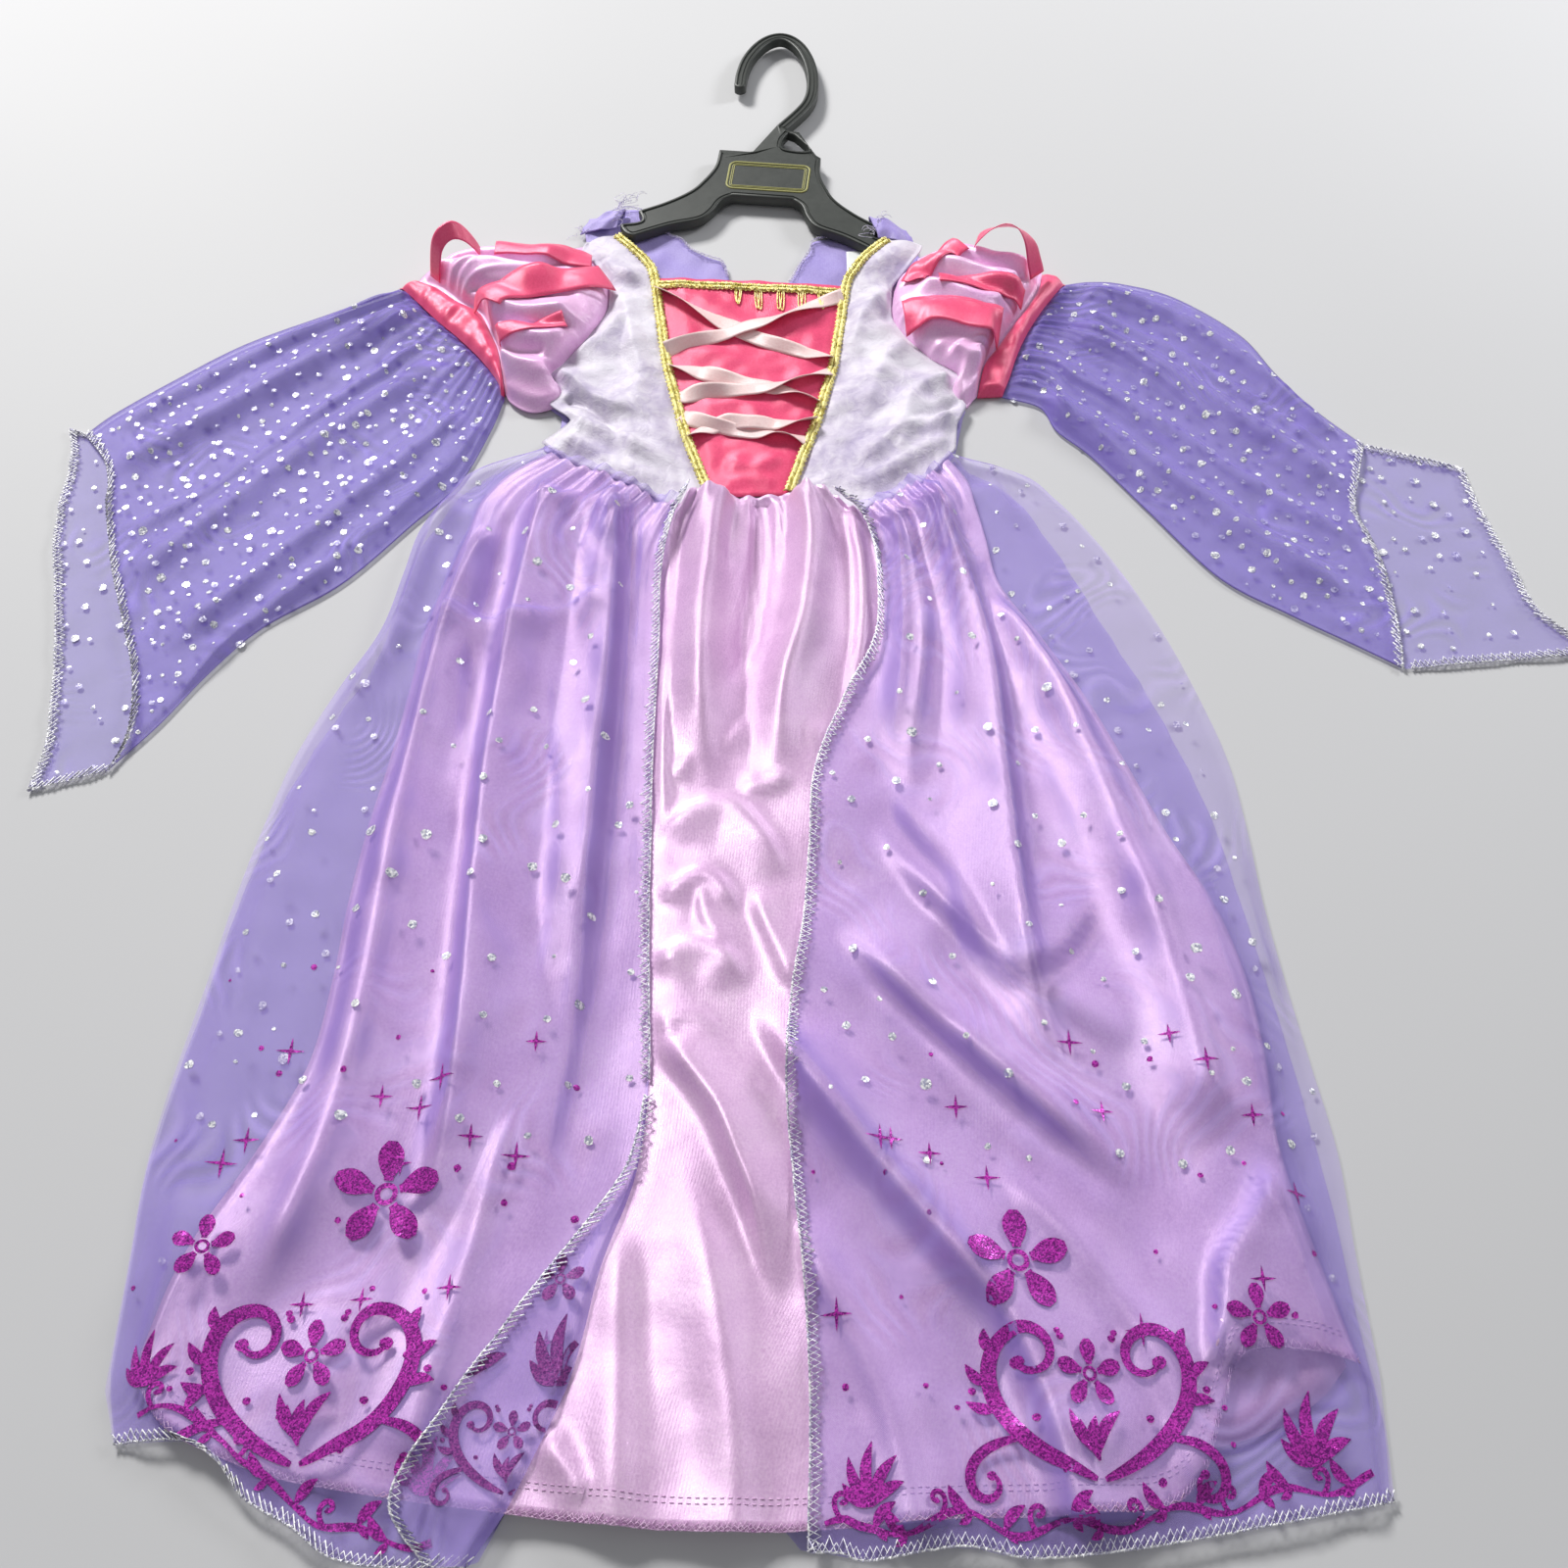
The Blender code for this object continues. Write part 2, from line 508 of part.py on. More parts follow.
def build_skirt():
    x, y, ends = skirt_grid()
    satin_z, organza_z = skirt_heights(x, y, ends)
    satin = np.dstack([x, y, satin_z])
    organza = np.dstack([x, y, organza_z])
    last = len(SKIRT)
    a, b, c, d = ends[1:5]

    hem_x = np.linspace(-134, -10, 6)[1:-1]
    behind = [(px, height_along(BACK_SATIN_HEM, px)) for px in hem_x]
    left = [(px + INSET, py) for px, py in zip(x[1:, 0], y[1:, 0])]
    right = [(px - INSET, py) for px, py in zip(x[1:, -1], y[1:, -1])]
    hem_left = [(px, py + INSET) for px, py in zip(x[-1, 1:b + 1:2], y[-1, 1:b + 1:2])]
    hem_right = [(px, py + INSET) for px, py in zip(x[-1, c:-1:2], y[-1, c:-1:2])]
    top = list(zip(x[0], y[0]))
    outline = left + hem_left + behind + hem_right + right[::-1] + top[::-1]
    plate("organza_back", outline, 0, SHEER, "organza")

    base = SHEER + GAP
    left = list(zip(x[:last - 1, a] + INSET, y[:last - 1, a]))
    right = list(zip(x[:last - 1, d] - INSET, y[:last - 1, d]))
    top = list(zip(x[0, a + 1:d], y[0, a + 1:d]))
    outline = left + BACK_SATIN_HEM[1:-1] + right[::-1] + top[::-1]
    plate("satin_back", outline, base, base + CLOTH, "satin")
    sheet("satin_front", satin[:last, a:d + 1], CLOTH, "satin")

    sheet("organza_left", organza[:, :b + 1], SHEER, "organza")
    sheet("organza_right", organza[:, c:], SHEER, "organza")

    panel = organza[:, :b + 1]
    strip = side_strip(panel[:CORNER_ROW + 1], b, -1, EDGING, EDGING_LIFT + RIBBON)
    sheet("edging_front_left", strip, RIBBON, "silver_edging")
    strip = side_strip(organza[:, c:], 0, 1, EDGING, EDGING_LIFT + RIBBON)
    sheet("edging_front_right", strip[:-1], RIBBON, "silver_edging")
    strip = row_strip(organza[:, :b - 1], -1, -1, EDGING, GAP + RIBBON)
    sheet("edging_hem_left", strip[:-4], RIBBON, "silver_edging")
    strip = row_strip(organza[:, c:], -1, -1, EDGING, GAP + RIBBON)
    sheet("edging_hem_right", strip[1:], RIBBON, "silver_edging")

    rows = []
    for k, width in enumerate(CORNER_WIDTH[1:], start=1):
        row = CORNER_ROW + k
        start = column_at(panel, row, b, width)
        rows.append([on_row(panel, row, start + (b - start) * f) for f in np.linspace(0, 1, CORNER_COLUMNS)])
    corner = np.array(rows)
    corner[..., 2] += CORNER_LIFT + SHEER
    sheet("organza_corner", corner, SHEER, "organza")
    strip = side_strip(corner, 0, 1, EDGING, GAP + RIBBON)
    sheet("edging_corner", strip, RIBBON, "silver_edging")


# Bodice

def bodice_grid(table, side):
    """Upper points of one velvet panel, from its outer edge to the braid."""
    rows = np.array(table, float)
    f = np.linspace(0, 1, BODICE_COLUMNS)[None, :]
    x = rows[:, 0:1] * (1 - f) + rows[:, 2:3] * f
    y = rows[:, 1:2] * (1 - f) + rows[:, 3:4] * f
    y[-1] = height_along(WAIST, x[-1])
    share = np.linspace(0, 1, len(rows))[:, None]
    z = BODICE_LOW + BODICE_ARCH * np.sin(math.pi * (0.12 + 0.8 * f)) * (0.7 + 0.3 * share)
    if side > 0:
        z = z + SHOULDER_LIFT * np.clip(1.5 - 4.0 * share, 0, 1)
    z = z + BODICE_WAVE * np.sin(9 * share + 5 * f) * np.sin(math.pi * f)
    z[-1] += WAIST_GATHER * (np.arange(BODICE_COLUMNS) % 2)
    return np.dstack([x, y, np.broadcast_to(z, x.shape)])


def centre_grid(left, right):
    """Upper points of the pink centre piece, between the two velvet panels."""
    f = np.linspace(0, 1, CENTRE_COLUMNS + 1)[None, :, None]
    a, b = left[NECK_ROW:, -1:].copy(), right[NECK_ROW:, -1:].copy()
    a[..., 0] += GAP
    b[..., 0] -= GAP
    grid = a * (1 - f) + b * f
    grid[-1, :, 1] = height_along(WAIST, grid[-1, :, 0])
    grid[..., 2] += 1.5 * np.sin(math.pi * f[..., 0])
    return grid


def lace(name, grid, start, end, flip, raise_by):
    """A flat ribbon that crosses the centre piece on a slant."""
    cols = grid.shape[1] - 1
    points = []
    for k in range(cols + 1):
        level = start + (end - start) * k / cols
        column = cols - k if flip else k
        low = min(int(level), grid.shape[0] - 2)
        step = grid[low + 1, column] - grid[low, column]
        middle = grid[low, column] + step * (level - low)
        half = step / np.linalg.norm(step[:2]) * LACE_WIDTH / 2
        points.append([middle - half, middle + half])
    points = np.array(points)
    hump = np.sin(math.pi * np.linspace(0, 1, cols + 1))[:, None]
    points[..., 2] += LACE_LIFT + RIBBON + raise_by * hump
    inward = -LACE_INSET if flip else LACE_INSET
    points[0, :, 0] += inward
    points[-1, :, 0] -= inward
    sheet(name, points, RIBBON, "lace_ribbon")


def build_bodice():
    left = bodice_grid(BODICE_LEFT, -1)
    right = bodice_grid(BODICE_RIGHT, 1)
    centre = centre_grid(left, right)
    sheet("bodice_front_left", left, CLOTH, "velvet")
    sheet("bodice_front_right", right, CLOTH, "velvet")
    sheet("bodice_centre", centre, CLOTH, "pink_satin")
    for name, grid in (("braid_left", left), ("braid_right", right)):
        strip = side_strip(grid, BODICE_COLUMNS - 1, -1, BRAID, GAP + BRAID_THICK)
        sheet(name, strip, BRAID_THICK, "gold_braid")
    neck = row_strip(centre, 0, 1, BRAID, GAP + BRAID_THICK)
    sheet("braid_neck", neck, BRAID_THICK, "gold_braid")
    for k, (start, end) in enumerate(LACES, start=1):
        lace(f"lace_{k}_under", centre, start, end, False, 0.0)
        lace(f"lace_{k}_over", centre, start, end, True, LACE_CROSSING)
    return left, right


def build_back():
    for name, body in (("left", BODICE_LEFT), ("right", BODICE_RIGHT)):
        armhole = [row[:2] for row in body[:ARMHOLE_ROWS]]
        waist_x = np.linspace(body[-1][0], CENTRE_BACK[name][0][0], 9)
        waist = [(px, height_along(WAIST, px) + SEAM / 2) for px in waist_x]
        outline = armhole + SIDE_BACK[name] + waist + CENTRE_BACK[name][1:] + BACK_NECK[name]
        plate(f"bodice_back_{name}", outline, 0, CLOTH, "lavender_satin")
        low_x, high_x, far, near, top = SHOULDERS[name]
        outer = (top - CLOTH - GAP) / 2
        radius = outer - CLOTH / 2
        middle = CLOTH + GAP + outer
        path = [(near + SHOULDER_STEP, middle - radius)]
        for angle in np.radians(np.arange(-90, 91, 30)):
            path.append((far - outer + radius * math.cos(angle), middle + radius * math.sin(angle)))
        path.append((near, middle + radius))
        fold_over(f"shoulder_{name}", path, low_x, high_x)
    x0, x1, y0, y1 = LABEL
    outline = [(x0, y0), (x1, y0), (x1, y1), (x0, y1)]
    plate("care_label", outline, CLOTH + GAP, CLOTH + GAP + RIBBON, "label")


def fold_over(name, path, low_x, high_x):
    """A strip of cloth that follows a path of (y, z) points, between two x values."""
    line = np.array(path, float)
    step = np.diff(line, axis=0)
    step /= np.linalg.norm(step, axis=1, keepdims=True)
    step = np.vstack([step[:1], (step[:-1] + step[1:]) / 2, step[-1:]])
    step /= np.linalg.norm(step, axis=1, keepdims=True)
    normal = np.stack([-step[:, 1], step[:, 0]], axis=1) * CLOTH / 2
    ring = np.concatenate([line + normal, (line - normal)[::-1]])
    count = len(ring)
    points = [(px, py, pz) for px in (low_x, high_x) for py, pz in ring]
    near, far = list(range(count)), list(range(count, 2 * count))
    faces = strip_faces(near, far, closed=True)
    half = len(line)
    for side in (near, far):
        faces += strip_faces(side[:half], side[half:][::-1])
    add_node(name, points, faces, "lavender_satin")


# Sleeves

def armhole_line(body, side):
    return [(x + side * ARMHOLE_GAP, y) for x, y in (row[:2] for row in body[:ARMHOLE_ROWS])]


def across_shares(line, pieces):
    """Shares of a polyline's length at its corners and at equal steps between them."""
    points = np.array(line, float)
    steps = np.linalg.norm(np.diff(points, axis=0), axis=1)
    walked = np.concatenate([[0], np.cumsum(steps)]) / steps.sum()
    return np.interp(np.arange((len(line) - 1) * pieces + 1) / pieces, np.arange(len(line)), walked)


def puff_grid(spec):
    """Upper points of a puff: gathered at both ends, full in the middle."""
    line = armhole_line(spec["body"], spec["side"])
    shares = across_shares(line, 2)
    upper = [line[0]] + spec["upper"][1:]
    lower = [line[-1]] + spec["lower"][1:]
    plan = coons(line, spec["band_in"], upper, lower, PUFF_ROWS, shares)
    s = np.linspace(0, 1, PUFF_ROWS)[:, None]
    t = shares[None, :]
    bulge = np.sin(math.pi * np.clip(0.14 + 0.72 * s, 0, 1)) ** 1.2 * np.sin(math.pi * t) ** 0.6
    bulge = bulge - bulge[:, :1]
    ends = 1 - np.sin(math.pi * s)
    waves = PUFF_WRINKLE * (0.35 + 0.65 * ends) * (np.arange(len(shares)) % 2) * np.sin(math.pi * t) ** 0.5
    creases = PUFF_CREASE * np.sin(7.5 * s + 9 * t) * np.sin(math.pi * s) * np.sin(math.pi * t)
    z = PUFF_EDGE + (PUFF_HEIGHT - PUFF_EDGE) * bulge + waves + creases
    return np.dstack([plan, np.maximum(z, PUFF_EDGE)])


def puff_point(grid, s, t):
    """A point on a puff at shares of its length and breadth, on the straight lines between its points."""
    rows, cols = grid.shape[0] - 1, grid.shape[1] - 1
    i, j = min(int(s * rows), rows - 1), min(int(t * cols), cols - 1)
    fs, ft = s * rows - i, t * cols - j
    a = grid[i, j] * (1 - ft) + grid[i, j + 1] * ft
    b = grid[i + 1, j] * (1 - ft) + grid[i + 1, j + 1] * ft
    return a * (1 - fs) + b * fs


def puff_ribbon(name, grid, route, width, arch):
    """A ribbon across a puff, sewn down at its two ends; an arch stands clear of the cloth between them."""
    middle = along(route, np.linspace(0, 1, RIBBON_STEPS))
    line = np.array([puff_point(grid, s, t) for s, t in middle])
    across = np.gradient(line[:, :2], axis=0)
    across = np.stack([-across[:, 1], across[:, 0]], axis=1)
    across /= np.linalg.norm(across, axis=1, keepdims=True)
    rise = arch * np.sin(math.pi * np.linspace(0, 1, RIBBON_STEPS)) ** 0.7
    points = np.zeros((RIBBON_STEPS, 3, 3))
    for k, share in enumerate((-0.5, 0.0, 0.5)):
        points[:, k, :2] = line[:, :2] + across * width * share
    tree = surface_tree(grid)
    reach = max(np.linalg.norm(line[1, :2] - line[0, :2]) / 2, width / 4)
    surface = np.array([[height_over(tree, p, reach) for p in row] for row in points])
    points[..., 2] = surface + rise[:, None] + RIBBON_LIFT + RIBBON
    sheet(name, points, RIBBON, "pink_satin")


def surface_tree(grid):
    """The faces of a grid of points, ready to be asked for their height."""
    index = np.arange(grid.shape[0] * grid.shape[1]).reshape(grid.shape[:2])
    faces = []
    for i in range(grid.shape[0] - 1):
        faces += strip_faces(index[i], index[i + 1])
    return BVHTree.FromPolygons([tuple(p) for p in grid.reshape(-1, 3)], faces)


def height_over(tree, point, reach):
    """The greatest height of a surface close to a plan point, or the sleeve's edge where it lies outside."""
    heights = [PUFF_EDGE]
    for dx in np.linspace(-reach, reach, 5):
        for dy in np.linspace(-reach, reach, 5):
            hit = tree.ray_cast((point[0] + dx, point[1] + dy, 2 * PUFF_HEIGHT), (0, 0, -1))[0]
            if hit:
                heights.append(hit.z)
    return max(heights)


def build_sleeves():
    for name, spec in PUFFS.items():
        side = spec["side"]
        grid = puff_grid(spec)
        tube(f"puff_{name}", grid, grid[:, ::2, :2], CLOTH, "lilac_satin")
        shares = across_shares(armhole_line(spec["body"], side), 1)
        start = [(x + side * BAND_GAP, y) for x, y in spec["band_in"]]
        plan = coons(start, spec["band_out"], [start[0], spec["band_out"][0]],
                     [start[-1], spec["band_out"][-1]], 3, shares)
        z = BAND_HEIGHT + BAND_ARCH * np.sin(math.pi * shares)[None, :] + np.array(BAND_ROLL)[:, None]
        tube(f"band_{name}", np.dstack([plan, z]), plan, CLOTH, "pink_satin")
        for k, (route, width, arch) in enumerate(PUFF_RIBBONS[name], start=1):
            puff_ribbon(f"puff_ribbon_{name}_{k}", grid, route, width, arch)
        build_bell(name, SLEEVES[name], [(x + side * BAND_GAP, y) for x, y in spec["band_out"]])


def build_bell(name, spec, start):
    shares = np.linspace(0, 1, SLEEVE_ACROSS)
    upper, lower = [start[0]] + spec["upper"], [start[-1]] + spec["lower"]
    front = coons(start, spec["front_hem"], upper, lower, SLEEVE_ROWS, shares)
    hem, back_hem = front[-1], along(spec["back_hem"], shares)
    flare = np.array([hem + (back_hem - hem) * k / FLARE_ROWS for k in range(1, FLARE_ROWS + 1)])
    z = SLEEVE_EDGE + folds(front[..., 0], front[..., 1], spec["folds"])
    z[0] = np.maximum(z[0], SLEEVE_START)
    z[:, 0] = z[:, -1] = SLEEVE_EDGE
    grid = np.dstack([front, z])
    tube(f"sleeve_{name}", grid, front, SHEER, "organza", flare)
    strip = row_strip(grid, -1, -1, EDGING, GAP + RIBBON)
    sheet(f"sleeve_edging_{name}", strip[1:-1], RIBBON, "silver_edging")
    strip = row_strip(np.dstack([flare, np.full(flare.shape[:2], SHEER)]), -1, -1, EDGING, GAP + RIBBON)
    sheet(f"sleeve_edging_back_{name}", strip[1:-1], RIBBON, "silver_edging")


# Hanger

def turn(point):
    c, s = math.cos(HANGER_TILT), math.sin(HANGER_TILT)
    return (HANGER_TOP[0] + c * point[0] - s * point[1], HANGER_TOP[1] + s * point[0] + c * point[1])


def build_hanger():
    path = np.array(rounded(HOOK, 3))
    step = np.gradient(path, axis=0)
    step /= np.linalg.norm(step, axis=1, keepdims=True)
    out = np.stack([-step[:, 1], step[:, 0]], axis=1) * HOOK_WIDTH / 2
    tip = [tuple(path[0] + HOOK_WIDTH / 2 * np.array([math.cos(a), math.sin(a)]))
           for a in np.radians([-45, -90, -135])]
    outer = [tuple(p) for p in path + out]
    inner = [tuple(p) for p in path - out]
    hook = inner[::-1] + tip + outer
    body = [(x, y) for x, y in HANGER_HALF]
    mirrored = [(-x, y) for x, y in body[::-1]]
    outline = [STEM_FOOT] + hook + WEB + body + mirrored
    low = CLOTH + GAP + CLOTH + GAP
    plate("hanger", [turn(p) for p in outline], low, low + HANGER_THICK, "hanger_plastic",
          [turn(p) for p in LOOP])


def centre_on_origin():
    """Moves every piece so that the whole box stands centred on the origin."""
    corners = np.array([obj.matrix_world @ v.co for obj in bpy.data.objects for v in obj.data.vertices])
    low, high = corners.min(axis=0), corners.max(axis=0)
    shift = (-(low[0] + high[0]) / 2, -(low[1] + high[1]) / 2, -low[2])
    for obj in bpy.data.objects:
        obj.location = shift
    size = high - low
    print(f"size {size[0]:.4f} x {size[1]:.4f} x {size[2]:.4f} m, moved by {shift}")


clear_scene()
build_back()
build_bodice()
build_skirt()
build_sleeves()
build_hanger()
centre_on_origin()
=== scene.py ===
import math

import bmesh
import bpy
import numpy as np
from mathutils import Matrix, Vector
from mathutils.bvhtree import BVHTree
from mathutils.geometry import delaunay_2d_cdt


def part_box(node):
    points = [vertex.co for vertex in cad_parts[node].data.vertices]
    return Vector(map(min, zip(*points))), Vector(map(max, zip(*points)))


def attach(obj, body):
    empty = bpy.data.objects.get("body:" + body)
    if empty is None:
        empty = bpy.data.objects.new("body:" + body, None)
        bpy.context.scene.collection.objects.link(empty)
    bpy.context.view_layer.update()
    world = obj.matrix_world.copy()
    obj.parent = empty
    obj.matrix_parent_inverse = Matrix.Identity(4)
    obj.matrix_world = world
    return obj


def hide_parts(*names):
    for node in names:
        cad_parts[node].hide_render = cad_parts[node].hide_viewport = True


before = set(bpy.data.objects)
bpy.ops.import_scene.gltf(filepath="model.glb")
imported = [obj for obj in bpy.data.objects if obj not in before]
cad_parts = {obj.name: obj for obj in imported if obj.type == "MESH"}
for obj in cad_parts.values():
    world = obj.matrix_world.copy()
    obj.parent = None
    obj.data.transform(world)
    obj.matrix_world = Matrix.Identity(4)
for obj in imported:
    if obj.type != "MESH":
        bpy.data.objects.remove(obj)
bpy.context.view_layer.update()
mm = 0.001
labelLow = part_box("care_label")[0]
labelPlan = (20, 222)  # the same corner of the label in the plan tables
moved = np.array([labelLow.x - labelPlan[0] * mm, labelLow.y - labelPlan[1] * mm, 0.0])
print("frame loaded, plan moved by", moved.round(5))


# Lines and surfaces, all in millimetres of the laid plan

def along(points, shares):  # points at shares of a line's length
    points = np.array(points, float)
    steps = np.linalg.norm(np.diff(points, axis=0), axis=1)
    walked = np.concatenate([[0], np.cumsum(steps)]) / steps.sum()
    return np.stack([np.interp(shares, walked, points[:, k]) for k in range(points.shape[1])], axis=-1)


def smoothLine(points, count=None, shares=None):  # a soft line through the points, in even steps
    p = np.array(points, float)
    ends = np.vstack([2 * p[0] - p[1], p, 2 * p[-1] - p[-2]])
    t = np.linspace(0, 1, 13)[:-1, None]
    fine = []
    for a, b, c, d in zip(ends, ends[1:], ends[2:], ends[3:]):
        fine.append(0.5 * (2 * b + (c - a) * t + (2 * a - 5 * b + 4 * c - d) * t ** 2
                           + (3 * b - a - 3 * c + d) * t ** 3))
    fine = np.vstack(fine + [p[-1:]])
    return along(fine, np.linspace(0, 1, count) if shares is None else shares)


def smoothRows(shares, values, at):  # the rows of a table, softly joined
    s, v = np.array(shares, float), np.array(values, float)
    slope = np.gradient(v, s, axis=0)
    k = np.clip(np.searchsorted(s, at, side="right") - 1, 0, len(s) - 2)
    h = (s[k + 1] - s[k])[:, None]
    t = (np.array(at) - s[k])[:, None] / h
    return ((2 * t ** 3 - 3 * t ** 2 + 1) * v[k] + (t ** 3 - 2 * t ** 2 + t) * h * slope[k]
            + (3 * t ** 2 - 2 * t ** 3) * v[k + 1] + (t ** 3 - t ** 2) * h * slope[k + 1])


def heightAlong(table, x):
    line = smoothLine(table, 200)
    order = np.argsort(line[:, 0])
    return np.interp(x, line[order, 0], line[order, 1])


def coons(start, end, upper, lower, rows, shares):  # plan points between two end lines and two side rails
    s = np.linspace(0, 1, rows)[:, None, None]
    t = np.array(shares)[None, :, None]
    a, b = smoothLine(start, shares=shares)[None], smoothLine(end, shares=shares)[None]
    u, w = smoothLine(upper, rows)[:, None], smoothLine(lower, rows)[:, None]
    corner = (1 - t) * ((1 - s) * a[:, :1] + s * b[:, :1]) + t * ((1 - s) * a[:, -1:] + s * b[:, -1:])
    return (1 - s) * a + s * b + (1 - t) * u + t * w - corner


def ease(x):
    x = np.clip(x, 0, 1)
    return x * x * (3 - 2 * x)


def unit(vectors):
    return vectors / (np.linalg.norm(vectors, axis=1, keepdims=True) + 1e-9)


def headings(line):  # the way that a line runs at each of its points
    return unit(np.gradient(line, axis=0))


def leftOf(way):  # square to a way in plan, on its left
    return np.stack([-way[:, 1], way[:, 0]], axis=1)


def fold(x, y, path, left, right, height, fade=(0.2, 0.2)):
    # a soft ridge on a path; left and right are its half widths on the two sides of the way it runs
    line = smoothLine(path, 26)
    best = np.full(np.shape(x), np.inf)
    share, side = np.zeros(np.shape(x)), np.ones(np.shape(x))
    for k, (a, b) in enumerate(zip(line, line[1:])):
        d = b - a
        t = np.clip(((x - a[0]) * d[0] + (y - a[1]) * d[1]) / (d @ d), 0, 1)
        dx, dy = x - a[0] - t * d[0], y - a[1] - t * d[1]
        far = np.hypot(dx, dy)
        near = far < best
        share = np.where(near, (k + t) / 25, share)
        side = np.where(near, np.sign(d[0] * dy - d[1] * dx), side)
        best = np.minimum(best, far)
    width = np.where(side > 0, left, right)
    ends = ease(share / max(fade[0], 0.01)) * ease((1 - share) / max(fade[1], 0.01))
    return height * ends * np.exp(-((best / width) ** 1.6))


def waves(x, y, size, seed, count=14, spread=0.6, lean=0.0):  # uneven soft waves of about this size
    rng = np.random.default_rng(seed)
    total = np.zeros(np.shape(x))
    for _ in range(count):
        way = lean + rng.normal(0, 1) * spread * math.pi
        length = size * rng.uniform(0.6, 1.7)
        phase = rng.uniform(0, 2 * math.pi)
        total = total + np.sin((x * math.cos(way) + y * math.sin(way)) * 2 * math.pi / length + phase)
    return total / math.sqrt(count)


def blur(grid, rounds):
    for _ in range(rounds):
        padded = np.pad(grid, 1, mode="edge")
        grid = (padded[:-2, 1:-1] + padded[2:, 1:-1] + padded[1:-1, :-2] + padded[1:-1, 2:] + 2 * grid) / 6
    return grid


def rowWalk(points):  # distance along each row of a grid
    steps = np.linalg.norm(np.diff(points[..., :2], axis=1), axis=2)
    return np.concatenate([np.zeros((len(points), 1)), np.cumsum(steps, axis=1)], axis=1)


def gridFaces(rows, cols, first=0):
    index = first + np.arange(rows * cols).reshape(rows, cols)
    quads = np.stack([index[:-1, :-1], index[:-1, 1:], index[1:, 1:], index[1:, :-1]], axis=-1)
    return quads.reshape(-1, 4).tolist()


def surfaceOf(grid):  # a grid of points, ready to be asked for its height
    rows, cols = grid.shape[:2]
    return BVHTree.FromPolygons([tuple(p) for p in grid.reshape(-1, 3)], gridFaces(rows, cols))


def drop(tree, x, y, otherwise=1.0):
    hit = tree.ray_cast((x, y, 200.0), (0, 0, -1))
    return hit[0].z if hit[0] else otherwise


# Pieces

def piece(name, points, faces, finish, replaces=(), uv=None, smooth=True, merge=0.0, thick=0.0):
    points = np.array(points, float).reshape(-1, 3)
    mesh = bpy.data.meshes.new(name)
    mesh.from_pydata((points * mm + moved).tolist(), [], faces)
    if uv is not None:
        layer = mesh.uv_layers.new(name="cloth")
        corner = np.empty(len(mesh.loops), int)
        mesh.loops.foreach_get("vertex_index", corner)
        layer.data.foreach_set("uv", np.array(uv, float).reshape(-1, 2)[corner].ravel())
        mesh.uv_layers.new(name="steep")
    bm = bmesh.new()
    bm.from_mesh(mesh)
    if merge:
        bmesh.ops.remove_doubles(bm, verts=bm.verts, dist=merge * mm)
    bmesh.ops.recalc_face_normals(bm, faces=bm.faces)
    if thick:
        up = sum(f.normal.z * f.calc_area() for f in bm.faces)
        if up < 0:
            bmesh.ops.reverse_faces(bm, faces=bm.faces)
    bm.to_mesh(mesh)
    bm.free()
    # the steep layer is the mask for the painted shade in the organza's folds
    if uv is not None:  # how steep the cloth stands at each point
        corner = np.empty(len(mesh.loops), int)
        mesh.loops.foreach_get("vertex_index", corner)
        normals = np.empty(len(mesh.vertices) * 3)
        mesh.vertices.foreach_get("normal", normals)
        steep = 1 - np.abs(normals.reshape(-1, 3)[corner, 2])
        mesh.uv_layers["steep"].data.foreach_set("uv", np.stack([steep, steep], axis=1).ravel())
    if smooth:
        mesh.shade_smooth()
    mesh.materials.append(finish)
    obj = bpy.data.objects.new(name, mesh)
    bpy.context.scene.collection.objects.link(obj)
    if thick:
        wall = obj.modifiers.new("wall", "SOLIDIFY")
        wall.thickness = thick * mm
        wall.offset = -1
    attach(obj, "root")
    if replaces:
        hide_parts(*replaces)
    return obj


def gridPiece(name, grid, finish, replaces=(), thick=0.0):
    rows, cols = grid.shape[:2]
    walk = rowWalk(grid)
    down = rowWalk(grid.transpose(1, 0, 2)).T
    uv = np.stack([walk, down], axis=-1) * mm
    return piece(name, grid, gridFaces(rows, cols), finish, replaces, uv, thick=thick)


def area(obj):
    graph = bpy.context.evaluated_depsgraph_get()
    mesh = obj.evaluated_get(graph).to_mesh()
    return sum(p.area for p in mesh.polygons)


def cloth(obj, flat, layers=1, share=None):
    # share is the cut's area as part of the flat rectangle
    size = None if share is None else flat[0] * flat[1] * share
    cut = flat[0] * flat[1] if size is None else size
    print(f"  {obj.name}: {area(obj) / layers / cut:.2f} of its cut")


